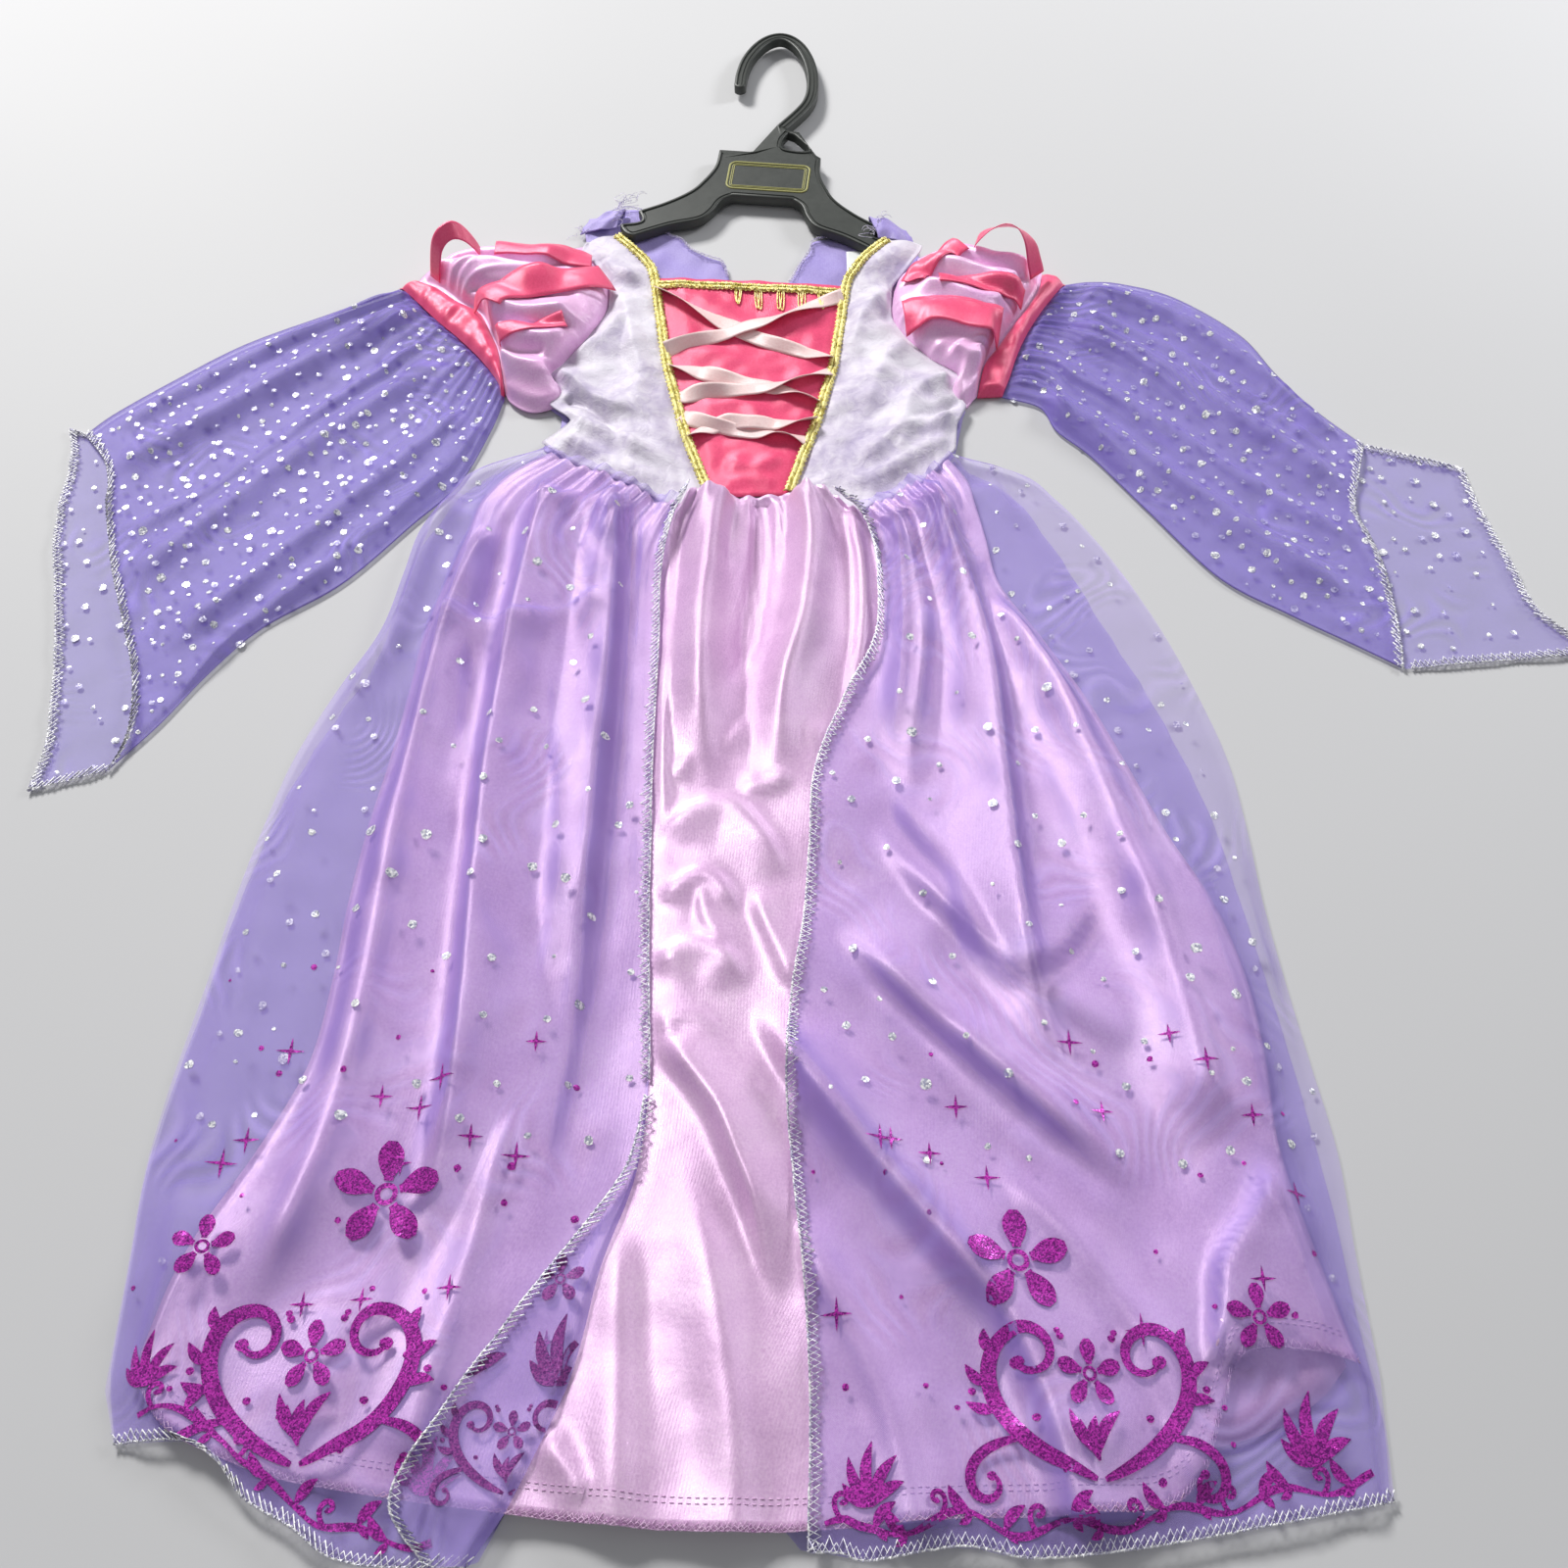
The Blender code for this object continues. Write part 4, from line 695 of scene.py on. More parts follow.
backColumns = slice(satinFrom, satinTo + 1, 3)
backX = x[:count:3, backColumns]
backWaist = (waistY - 1.5)[backColumns]
backHem = heightAlong(skirt["backSatinHem"], x[count - 1, backColumns])
backY = backWaist + (backHem - backWaist) * down[::3, None]
backZ = skirt["backHeight"] + 0.15 * waves(backX, backY, 40, 31)
backGrid = np.dstack([backX, backY, backZ])
satinBack = gridPiece("satinBack", backGrid, satin, ["satin_back"], thick=0.7)
cloth(satinBack, (0.54, 0.49), 2, 0.82)

column = np.arange(len(lastY))
centreShare = ease((column - leftEdge) / 6) * ease((rightEdge - column) / 6)
centreHem = heightAlong(skirt["backSatinHem"], x[-1]) + 1.5
hemShown = lastY + (centreHem - lastY) * centreShare
fullShare = np.linspace(0, 1, 60)[:, None]
pick = np.linspace(0, count + 7, 60).astype(int)
backX = x[pick][:, ::3]
backY = (waistY - 2.5)[::3] + (hemShown[::3] - (waistY - 2.5)[::3]) * fullShare
backZ = skirt["organzaBack"] + 0.12 * waves(backX, backY, 30, 33)
organzaBack = gridPiece("organzaBack", np.dstack([backX, backY, backZ]), organza, ["organza_back"])
cloth(organzaBack, (0.58, 0.55), 1, 0.82)

# the left front's corner is turned over on itself
rowNumber = np.concatenate([np.interp(down, table[:, 0], np.arange(15)),
                            14 + 2 * np.arange(1, 9) / skirt["hemRows"]])
cornerWidth = [(9.9, 0), (10, 0.5), (11, 4), (12, 19), (13, 40), (14, 46), (15, 32), (16, 13)]
turned = np.flatnonzero(rowNumber >= 10)
turnLine = np.interp(rowNumber[turned], *np.array(cornerWidth, float).T)
turnLine = np.convolve(np.pad(turnLine, 2, mode="edge"), np.ones(5) / 5, mode="valid")
cornerGrid = []
share = np.linspace(0, 1, 20)
for row, width in zip(turned, turnLine):
    at = walked[row, leftEdge] - width * share
    px = np.interp(at, walked[row], x[row])
    py = np.interp(at, walked[row], y[row])
    pz = np.interp(at, walked[row], organzaZ[row])
    raised = min(1.0, width / 8) * (1.0 + 2.2 * np.exp(-((share * width - 4) / 4) ** 2)) * ease(share * 8)
    cornerGrid.append(np.stack([px, py, pz + raised], axis=1))
cornerGrid = np.array(cornerGrid)
leftGrid = organzaGrid[:, :leftEdge + 1]
rows, cols = leftGrid.shape[:2]
faces = gridFaces(rows, cols) + gridFaces(len(turned), 20, rows * cols)
points = np.concatenate([leftGrid.reshape(-1, 3), cornerGrid.reshape(-1, 3)])
uvMain = np.stack([walked[:, :leftEdge + 1], 80 - leftGrid[..., 1]], axis=-1).reshape(-1, 2)
uvTurn = walked[turned, leftEdge][:, None] + turnLine[:, None] * share
uvTurn = np.stack([uvTurn, 80 - cornerGrid[..., 1]], axis=-1)
uv = np.concatenate([uvMain, uvTurn.reshape(-1, 2)]) * mm
nodes = ["organza_left", "organza_corner"]
organzaLeft = piece("organzaLeft", points, faces, litFrontOrganza, nodes, uv)
cloth(organzaLeft, (0.24, 0.57), 1, 0.84)

rightGrid = organzaGrid[:, rightEdge:]
organzaRight = gridPiece("organzaRight", rightGrid, litFrontOrganza, ["organza_right"])
cloth(organzaRight, (0.25, 0.57), 1, 0.84)
print("skirt made")


# Silver overlock along the organza's edges

def overlock(bag, edge, inner, seed, wide=4.6, step=2.5, radius=0.42, lift=0.5):
    # zigzag thread between an edge and a line beside it, and a thread along the edge
    rng = np.random.default_rng(seed)
    edge, inner = np.array(edge, float), np.array(inner, float)
    way = inner - edge
    way /= np.linalg.norm(way[:, :2], axis=1, keepdims=True) + 1e-9
    length = np.linalg.norm(np.diff(edge, axis=0), axis=1).sum()
    number = max(6, int(length / step))
    shares = np.linspace(0, 1, number)
    line = along(edge, shares)
    side = along(np.hstack([edge, way]), shares)[:, 3:]
    swing = np.where(np.arange(number) % 2, 1.0, -0.12) * wide * rng.uniform(0.75, 1.15, number)
    zig = line + side * swing[:, None]
    zig[:, 2] += lift + rng.uniform(0, 0.5, number)
    bag.rod(zig, radius, 4)
    late = np.where((np.arange(number) + 1) % 2, 1.0, -0.12) * wide * rng.uniform(0.6, 1.0, number)
    zag = line + side * late[:, None]
    zag[:, 2] += lift + 0.3 + rng.uniform(0, 0.4, number)
    bag.rod(zag, radius * 0.8, 4)
    rail = along(edge, np.linspace(0, 1, max(6, int(length / 2.2))))
    rail[:, 2] += lift * 0.5
    bag.rod(rail + rng.normal(0, 0.12, rail.shape), radius * 1.25, 5)


aboveTurn = organzaGrid[:turned[0] + 1]
silver = [  # piece, edge, line beside it, node
    ("edgingFrontLeft", aboveTurn[:, leftEdge], aboveTurn[:, leftEdge - 2], "edging_front_left"),
    ("edgingFrontRight", rightGrid[:, 0], rightGrid[:, 2], "edging_front_right"),
    ("edgingCorner", cornerGrid[2:, -1], cornerGrid[2:, -5], "edging_corner"),
    ("edgingHemLeft", leftGrid[-1], leftGrid[-4], "edging_hem_left"),
    ("edgingHemRight", rightGrid[-1], rightGrid[-4], "edging_hem_right"),
]
for number, (name, edge, inner, node) in enumerate(silver):
    bag = Bag()
    overlock(bag, edge, inner, 40 + number)
    bag.make(name, silverThread, [node])

bag = Bag()
overlock(bag, centreGrid[-1], centreGrid[-4], 50, wide=3.4, step=2.0, radius=0.22, lift=0.25)
lowEdge = np.dstack([x[:count], satinY, satinZ[:count]])[-1, satinFrom:satinTo + 1]
overlock(bag, lowEdge, centreGrid[-3], 51, wide=2.0, step=2.4, radius=0.18)
downFromHem = centreGrid[-1:, :, 1] - centreGrid[:, :, 1]
for inset in (9.0, 11.0):  # two rows of hem stitches
    line = [[np.interp(-inset, downFromHem[:, k], centreGrid[:, k, axis]) for axis in range(3)]
            for k in range(centreGrid.shape[1])]
    fine = along(line, np.linspace(0, 1, 340))
    fine[:, 2] += 0.12
    for k in range(0, 338, 2):
        bag.rod(fine[k:k + 2], 0.2, 4)
bag.make("satinHemStitches", lilacThread)
print("edgings made")


# Glitter dots and the printed ornament

organzaTree = surfaceOf(organzaGrid)
cornerTree = surfaceOf(cornerGrid)


def onOrganza(px, py):
    return drop(organzaTree, px, py, -9.0)


def onCorner(px, py):
    return drop(cornerTree, px, py, -9.0)


def insideLeft(px, py):  # on the left front, clear of its turned corner
    edge = np.interp(-py, -y[:, leftEdge], x[:, leftEdge])
    turnEdge = np.interp(-py, -cornerGrid[:, 0, 1], cornerGrid[:, 0, 0], left=edge)
    return x[:, 0].min() < px < min(edge, turnEdge) - 4 and px > np.interp(-py, -y[:, 0], x[:, 0]) + 3


def insideRight(px, py):
    edge = np.interp(-py, -y[:, rightEdge], x[:, rightEdge])
    return edge + 4 < px < np.interp(-py, -y[:, -1], x[:, -1]) - 3


def scatter(bag, inside, height, box, pitch, sizes, seed, keep=1.0, lift=0.3):
    # dots on a loose triangular net
    rng = np.random.default_rng(seed)
    for row, gy in enumerate(np.arange(box[1], box[3], pitch * 0.87)):
        for gx in np.arange(box[0] + (row % 2) * pitch / 2, box[2], pitch):
            px, py = gx + rng.uniform(-0.27, 0.27) * pitch, gy + rng.uniform(-0.27, 0.27) * pitch
            size = rng.uniform(*sizes) * rng.choice([0.7, 1.0, 1.0, 1.25])
            if rng.uniform() < keep and inside(px, py):
                bag.disc(px, py, size / 2, height, lift, seed=row * 991 + int((gx + 600) * 7))


def besideSatin(px, py):  # where the fronts show the back layer through
    return (insideLeft(px, py) or insideRight(px, py)) and drop(satinTree, px, py, -1.0) < 0


dots = [  # where, height there, box searched, spacing, smallest and largest, seed, share kept
    (insideLeft, onOrganza, (-290, -320, -70, 74), 27, (2.6, 4.6), 121, 0.8),
    (insideRight, onOrganza, (-20, -330, 220, 74), 27, (2.6, 4.6), 122, 0.8),
    (besideSatin, lambda px, py: 1.1, (-290, -400, 220, 74), 30, (2.6, 4.2), 123, 0.7),  # on the back layer
]
bag = Bag()
for row in dots:
    scatter(bag, *row)
bag.make("skirtDots", silverGlitter, smooth=False)


def curl(start, heading, length, bend, turn, power=3.0, steps=50):  # a line that curls in towards its end
    s = np.linspace(0, 1, steps)
    a = math.radians(heading) + bend * s + turn * s ** power
    way = np.stack([np.cos(a), np.sin(a)], axis=1) * length / (steps - 1)
    return np.array(start) + np.vstack([[0, 0], np.cumsum(way[:-1], axis=0)])


def leaf(bag, root, angle, length, width, height, lift):
    t = np.linspace(0, 1, 11)
    a = math.radians(angle)
    bendy = 0.12 * length * np.sin(t * math.pi)
    line = np.stack([root[0] + length * t * math.cos(a) - bendy * math.sin(a),
                     root[1] + length * t * math.sin(a) + bendy * math.cos(a)], axis=1)
    bag.strip(line, width * np.sin(math.pi * np.clip(t, 0.04, 0.985)) ** 0.8, height, lift)


def blossom(bag, centre, size, height, lift, petals=5, start=90):  # round petals round a ring
    for k in range(petals):
        a = math.radians(start + 360 * k / petals)
        t = np.linspace(0, 1, 12)
        r = size * (0.13 + 0.37 * t)
        line = np.stack([centre[0] + r * math.cos(a), centre[1] + r * math.sin(a)], axis=1)
        width = size * 0.30 * (np.sin(math.pi * np.clip(t, 0.1, 0.97)) ** 0.55) * (0.55 + 0.45 * t)
        bag.strip(line, width, height, lift, across=4)
    ring = np.radians(np.linspace(0, 360, 20))
    line = np.array(centre) + size * 0.085 * np.stack([np.cos(ring), np.sin(ring)], axis=1)
    bag.strip(line, size * 0.05, height, lift, across=2)


def star(bag, centre, size, height, lift):  # four thin points
    for a in (0, 90):
        a = math.radians(a)
        t = np.linspace(-1, 1, 9)
        line = np.array(centre) + size / 2 * t[:, None] * (math.cos(a), math.sin(a))
        bag.strip(line, 1.5 * (1 - np.abs(t)) ** 0.8 + 0.12, height, lift, across=2)


def lyre(bag, foot, size, height, lift):
    # two mirrored scrolls that grow from one foot, with leaves and dots and a blossom between them
    s = np.linspace(0, 1, 50)
    for m in (-1, 1):
        main = curl((foot[0] + m * size * 0.03, foot[1]), 90 - m * 68, size * 2.15, m * 1.15, m * 6.2, 3.2)
        bag.strip(main, size * (0.035 + 0.085 * np.sin(math.pi * s ** 0.75) ** 0.9), height, lift, across=4)
        bag.disc(*main[-1], size * 0.05, height, lift)
        tendril = curl(main[13], 90 - m * 98, size * 0.95, -m * 0.6, -m * 5.4, 2.6)
        bag.strip(tendril, size * (0.028 + 0.05 * np.sin(math.pi * s ** 0.8)), height, lift)
        bag.disc(*tendril[-1], size * 0.035, height, lift)
        for at, angle, long in ((19, 80, 0.24), (23, 50, 0.22), (28, 15, 0.18)):
            leaf(bag, main[at], 90 - m * angle, size * long, size * 0.085, height, lift)
        leaf(bag, (foot[0], foot[1] + size * 0.16), 90 - m * 28, size * 0.26, size * 0.08, height, lift)
        for dx, dy, r in ((0.86, 0.62, 0.03), (0.98, 0.50, 0.022), (0.22, 1.02, 0.026), (0.42, 0.42, 0.03)):
            bag.disc(foot[0] + m * dx * size, foot[1] + dy * size, size * r, height, lift)
        leaf(bag, (foot[0], foot[1] + size * 0.18), 90 - m * 34, size * 0.34, size * 0.09, height, lift)
        bag.disc(foot[0] + m * size * 0.2, foot[1] + size * 0.98, size * 0.03, height, lift)
    leaf(bag, (foot[0], foot[1] + size * 0.12), 90, size * 0.3, size * 0.1, height, lift)
    blossom(bag, (foot[0], foot[1] + size * 0.72), size * 0.5, height, lift)


def fan(bag, foot, size, height, lift):  # leaves spread from one foot
    for angle, long in ((90, 1.0), (62, 0.86), (118, 0.86), (34, 0.62), (146, 0.62)):
        leaf(bag, foot, angle, size * long, size * 0.2, height, lift)


ornaments = dict(  # places of the print, foot or middle, and size
    lyres=[((-202, -452), 54), ((98, -458), 52)],
    blossoms=[((-182, -350), 44), ((-252, -372), 26), ((74, -378), 42), ((166, -400), 26)],
    fans=[((-264, -424), 20), ((182, -452), 26), ((14, -466), 22), ((-150, -462), 20)],
    vines=[(-266, -146), (-4, 204)],
    specks=[(insideLeft, (-280, -440, -100, -250), 131), (insideRight, (-10, -450, 205, -270), 132)],
    stars=28, starSize=(9, 13), lift=0.35,
    corner=[(lyre, (-122, -462), 30), (fan, (-104, -424), 26), (fan, (-138, -420), 22),
            (blossom, (-108, -384), 20)],
)
bag = Bag()
lift = ornaments["lift"]
for foot, size in ornaments["lyres"]:
    lyre(bag, foot, size, onOrganza, lift)
for middle, size in ornaments["blossoms"]:
    blossom(bag, middle, size, onOrganza, lift)
for foot, size in ornaments["fans"]:
    fan(bag, foot, size, onOrganza, lift)
for first, last in ornaments["vines"]:  # a vine along each hem, with a leaf and a tendril in turn
    px = np.arange(first, last, 2.0)
    py = heightAlong(skirt["organzaHem"], px) + 9 + 2.6 * np.sin((px - first) * 2 * math.pi / 40)
    vine = np.stack([px, py], axis=1)
    bag.strip(vine, 2.3 + 0.7 * np.sin(px / 5), onOrganza, lift)
    for k in range(3, len(vine) - 3, 6):
        m = 1 if k // 6 % 2 else -1
        if k // 6 % 3 == 0:
            bag.strip(curl(vine[k], 90 - m * 40, 17, m * 1.2, m * 5.5, 2.6, 26), 1.9, onOrganza, lift)
        else:
            leaf(bag, vine[k], 90 - m * 42, 12, 4.4, onOrganza, lift)
            leaf(bag, vine[k], -90 + m * 50, 6, 3.0, onOrganza, lift)
for inside, box, seed in ornaments["specks"]:
    scatter(bag, inside, onOrganza, box, 31, (1.8, 3.0), seed, 0.55)
rng = np.random.default_rng(133)
for k in range(ornaments["stars"]):
    left = k % 2
    px, py = rng.uniform(-270, -110) if left else rng.uniform(0, 195), rng.uniform(-430, -275)
    if (insideLeft if left else insideRight)(px, py):
        star(bag, (px, py), rng.uniform(*ornaments["starSize"]), onOrganza, lift)
bag.make("glitterPrint", magentaGlitter, smooth=False)

bag = Bag()  # the turned corner shows its reverse
for draw, place, size in ornaments["corner"]:
    draw(bag, place, size, onCorner, 0.3)
bag.make("cornerPrint", dimGlitter, smooth=False)
print("dots and print made")


# Bodice

bodice = dict(
    left=[  # outer x, outer y, inner x, inner y, from the shoulder to the waist
        (-143, 255, -125, 262), (-145, 247, -114, 248), (-132, 228, -104, 235), (-126.5, 217, -99, 222),
        (-125.5, 193, -94, 188), (-132, 175, -91, 166), (-148, 147, -88, 145), (-156, 135, -84, 126),
        (-148, 122, -79.5, 106), (-154, 111, -76, 90), (-141, 98, -71, 73), (-156, 80.8, -59, 37.3)],
    right=[
        (67, 243, 46, 249), (65, 237, 35, 237), (54, 219, 25, 223), (47, 208, 19, 211),
        (46, 185, 15, 180), (54, 167, 12, 158), (68, 148, 9.5, 140), (84, 135, 5.5, 122),
        (80, 122, 1, 102), (86, 110, -3, 87), (80, 95, -8, 70), (78, 75.8, -17, 38.8)],
    folds=dict(  # as for the skirt
        left=[([(-150, 98), (-132, 92), (-112, 82), (-88, 62)], 5, 10, 5.0, (0.1, 0.3)),
              ([(-156, 132), (-142, 128), (-128, 112), (-112, 104), (-96, 102)], 8, 6, 4.0, (0.1, 0.3)),
              ([(-148, 150), (-132, 160), (-120, 176), (-112, 196)], 8, 10, 3.4, (0.1, 0.3)),
              ([(-152, 84), (-130, 74), (-104, 56), (-84, 44)], 6, 8, 2.8, (0.1, 0.2)),
              ([(-120, 210), (-112, 180), (-106, 150), (-94, 120)], 8, 6, 2.6, (0.2, 0.3)),
              ([(-146, 116), (-132, 108), (-118, 92), (-106, 66)], 3.5, 3.5, -3.2, (0.05, 0.3)),
              ([(-132, 235), (-120, 226), (-106, 214)], 5, 7, 2.4, (0.1, 0.3)),
              ([(-100, 140), (-104, 116), (-92, 92), (-84, 70)], 6, 5, 2.0, (0.2, 0.3))],
        right=[([(82, 100), (66, 96), (44, 84), (22, 60)], 9, 5, 4.0, (0.1, 0.2)),
               ([(82, 132), (66, 128), (54, 112), (50, 92), (44, 60)], 6, 8, 3.6, (0.1, 0.2)),
               ([(56, 168), (44, 150), (34, 124), (26, 96)], 7, 7, 2.6, (0.1, 0.3)),
               ([(78, 84), (56, 70), (34, 52), (10, 46)], 5, 7, 2.8, (0.1, 0.2)),
               ([(50, 205), (38, 198), (26, 176), (22, 150)], 6, 6, 2.0, (0.2, 0.3)),
               ([(84, 114), (70, 106), (58, 88)], 3.5, 3.5, -2.6, (0.05, 0.3))]),
    rows=120, columns=46, low=4.5, arch=3.4, shoulderLift=6.8, neckRow=3,
    # node, wall, flat size, share of it, what it rests on
    panels=dict(left=("bodice_front_left", 0.9, (0.085, 0.235), 0.7, "bodiceBackLeft"),
                right=("bodice_front_right", 0.9, (0.09, 0.22), 0.72, "bodiceBackRight")),
    centreFolds=[
        ([(-92, 206), (-66, 196), (-44, 178), (-30, 160)], 7, 10, 1.8, (0.2, 0.3)),
        ([(-84, 150), (-60, 152), (-36, 140)], 6, 8, 1.5, (0.2, 0.3)),
        ([(-70, 104), (-48, 110), (-24, 96)], 6, 8, 1.4, (0.2, 0.3)),
        ([(12, 200), (-14, 182), (-40, 186)], 6, 8, 1.5, (0.2, 0.3)),
        ([(-52, 66), (-36, 60), (-18, 68)], 5, 6, 2.2, (0.2, 0.2)),
        ([(-56, 48), (-38, 52), (-20, 47)], 3, 4, 1.6, (0.2, 0.2))],
)
finePick = np.linspace(0, 11, bodice["rows"])


def bodiceGrid(name):
    rows = smoothRows(np.arange(12), bodice[name], finePick)
    raw = np.array(bodice[name], float)
    outer = np.stack([np.interp(finePick, np.arange(12), raw[:, k]) for k in (0, 1)], axis=1)
    outer = 0.5 * outer + 0.5 * rows[:, :2]
    f = np.linspace(0, 1, bodice["columns"])
    plan = outer[:, None] * (1 - f)[None, :, None] + rows[:, None, 2:] * f[None, :, None]
    bottom = heightAlong(skirt["waist"], plan[-1, :, 0]) + 0.8
    pull = ease((finePick - 9.5) / 1.5)[:, None]
    plan[..., 1] += (bottom - plan[-1, :, 1])[None] * pull
    px, py = plan[..., 0], plan[..., 1]
    share = (finePick / 11)[:, None]
    z = bodice["low"] + bodice["arch"] * np.sin(math.pi * (0.1 + 0.8 * f))[None] * (0.7 + 0.3 * share)
    if name == "right":
        z = z + bodice["shoulderLift"] * np.clip(1.5 - 4.0 * share, 0, 1)
    edge = ease(np.minimum(f, 1 - f) / 0.12)[None]
    soft = 0.7 * waves(px, py, 34, 61) + 0.45 * waves(px, py, 15, 62)
    z = z + edge * (1.5 * pile(bodice["folds"][name], px, py) + soft)
    rng = np.random.default_rng(64)
    for place in rng.uniform(0.05, 0.95, 13):
        near = np.exp(-(((f[None] - place) / 0.02) ** 2))  # a short gather over the waist seam
        z = z + 1.3 * rng.uniform(0.4, 1) * np.exp(-((1 - share) / 0.07)) * near
    return np.dstack([px, py, z])


frontLeft, frontRight = bodiceGrid("left"), bodiceGrid("right")
for name, grid in (("left", frontLeft), ("right", frontRight)):
    node, wall, flat, part, under = bodice["panels"][name]
    made = gridPiece(f"velvet{name.capitalize()}", grid, velvet, [node], thick=wall)
    cloth(made, flat, 2, part)

inner = finePick >= bodice["neckRow"]
f = np.linspace(0, 1, 60)[None, :, None]
centre = frontLeft[inner][:, -1:] * (1 - f) + frontRight[inner][:, -1:] * f
centre[..., 0] += (1 - 2 * f[..., 0]) * 0.3
share = np.linspace(0, 1, centre.shape[0])[:, None]
bottom = heightAlong(skirt["waist"], centre[-1, :, 0]) + 0.6
centre[..., 1] += (bottom - centre[-1, :, 1])[None] * ease((share - 0.85) / 0.15)
wide = ease(np.minimum(f[0, :, 0], 1 - f[0, :, 0]) / 0.15)[None]
px, py = centre[..., 0], centre[..., 1]
centre[..., 2] += wide * (1.0 + 1.3 * pile(bodice["centreFolds"], px, py) + 0.35 * waves(px, py, 17, 66))
pinkCentre = gridPiece("pinkCentre", centre, pinkSatin, ["bodice_centre"], thick=0.7)
cloth(pinkCentre, (0.13, 0.19), 2, 0.72)
centreTree = surfaceOf(centre)


def onGrid(grid, s, t):  # a point of a grid at shares of its rows and columns
    rows, cols = grid.shape[0] - 1, grid.shape[1] - 1
    i, j = min(int(s * rows), rows - 1), min(int(t * cols), cols - 1)
    fs, ft = s * rows - i, t * cols - j
    top = grid[i, j] * (1 - ft) + grid[i, j + 1] * ft
    low = grid[i + 1, j] * (1 - ft) + grid[i + 1, j + 1] * ft
    return top * (1 - fs) + low * fs


def band(name, line, width, rolls, finish, replaces, across=7, thick=0.45):
    # a ribbon along a line of points; rolls turns it about its own length
    line = np.array(line, float)
    way = headings(line)
    side = unit(np.cross(way, (0, 0, 1.0)))
    out = width[:, None] * (np.cos(rolls)[:, None] * side + np.sin(rolls)[:, None] * np.cross(side, way))
    grid = np.stack([line + f * out for f in np.linspace(-0.5, 0.5, across)], axis=1)
    return gridPiece(name, grid, finish, replaces, thick=thick)


lacing = dict(
    rows=[(0.42, 2.65), (3.3, 4.65), (5.35, 6.5)],  # start and end, in eighths of the centre's height
    width=10.5, narrowing=2.0, spread=3.0, drift=2.4, twist=0.9, overLift=2.0, underLift=0.2,
)
for number, (start, end) in enumerate(lacing["rows"], start=1):
    for kind, flip in (("under", False), ("over", True)):
        share = np.linspace(0.0, 1.0, 44)
        level = (start + (end - start) * share) / 8
        line = np.array([onGrid(centre, s, t) for s, t in zip(level, 1 - share if flip else share)])
        sag = lacing["spread"] if flip == (number % 2 == 1) else -lacing["spread"]
        line[:, 1] += sag * np.sin(share * math.pi)
        line[:, 1] += lacing["drift"] * np.sin(share * 2 * math.pi + number)
        hump = np.exp(-(((share - 0.5) / 0.16) ** 2))
        for k, p in enumerate(line):
            line[k, 2] = drop(centreTree, p[0], p[1], p[2]) + 0.9
        line[:, 2] = np.convolve(np.pad(line[:, 2], 3, mode="edge"), np.ones(7) / 7, mode="valid") + 0.4
        line[:, 2] += lacing["overLift" if flip else "underLift"] * hump
        phase = number + (1.4 if flip else 0)
        twist = lacing["twist"] * np.sin(share * math.pi * 2 + phase) * (1 - hump * 0.8)
        width = lacing["width"] - lacing["narrowing"] * np.abs(np.sin(share * 5 + number))
        line[:, 2] += np.abs(np.sin(twist)) * width * 0.28
        name = f"lace{number}{kind.capitalize()}"
        made = band(name, line, width, twist, laceRibbon, [f"lace_{number}_{kind}"])
        length = float(np.linalg.norm(np.diff(line, axis=0), axis=1).sum()) * mm
        cloth(made, (lacing["width"] * mm, length * 1.05), 2)
print("bodice front made")


# Gold braid

def braid(bag, line, seed, amount=2.1, period=4.6, radius=0.62):
    # two plaits of three cords side by side, with a looped cord along each edge
    rng = np.random.default_rng(seed)
    line = np.array(line, float)
    length = np.linalg.norm(np.diff(line, axis=0), axis=1).sum()
    number = int(length / 0.62)
    at = np.linspace(0, 1, number)
    path = along(line, at)
    level = np.zeros((number, 1))
    way = np.hstack([headings(path[:, :2]), level])
    side = np.hstack([leftOf(way), level])
    walk = at * length + np.cumsum(rng.normal(0, 0.04, number))
    for track in (-1.35, 1.35):
        for phase in (0, math.pi * 2 / 3, math.pi * 4 / 3):
            angle = walk * 2 * math.pi / period + phase
            cord = path + side * (track + 1.0 * np.sin(angle))[:, None]
            cord[:, 2] += 0.9 + 0.55 * np.cos(2 * angle)
            bag.rod(cord, radius * rng.uniform(0.9, 1.1), 4)
    for sign in (-1, 1):
        angle = walk * 2 * math.pi / (period * 0.72) + sign
        cord = path + side * (sign * (amount + 1.2 * (0.5 + 0.5 * np.sin(angle)) ** 0.6))[:, None]
        cord += way * (0.9 * np.cos(angle))[:, None]
        cord[:, 2] += 0.4 + rng.uniform(0, 0.25, number)
        bag.rod(cord, 0.36, 4)


for name, grid, seed in (("left", frontLeft, 71), ("right", frontRight, 72)):
    bag = Bag()
    line = grid[1:-1, -1].copy()
    line[:, 2] = grid[1:-1, -4:, 2].max(axis=1) + 0.2
    braid(bag, line, seed)
    bag.make(f"braid{name.capitalize()}", goldThread, [f"braid_{name}"])

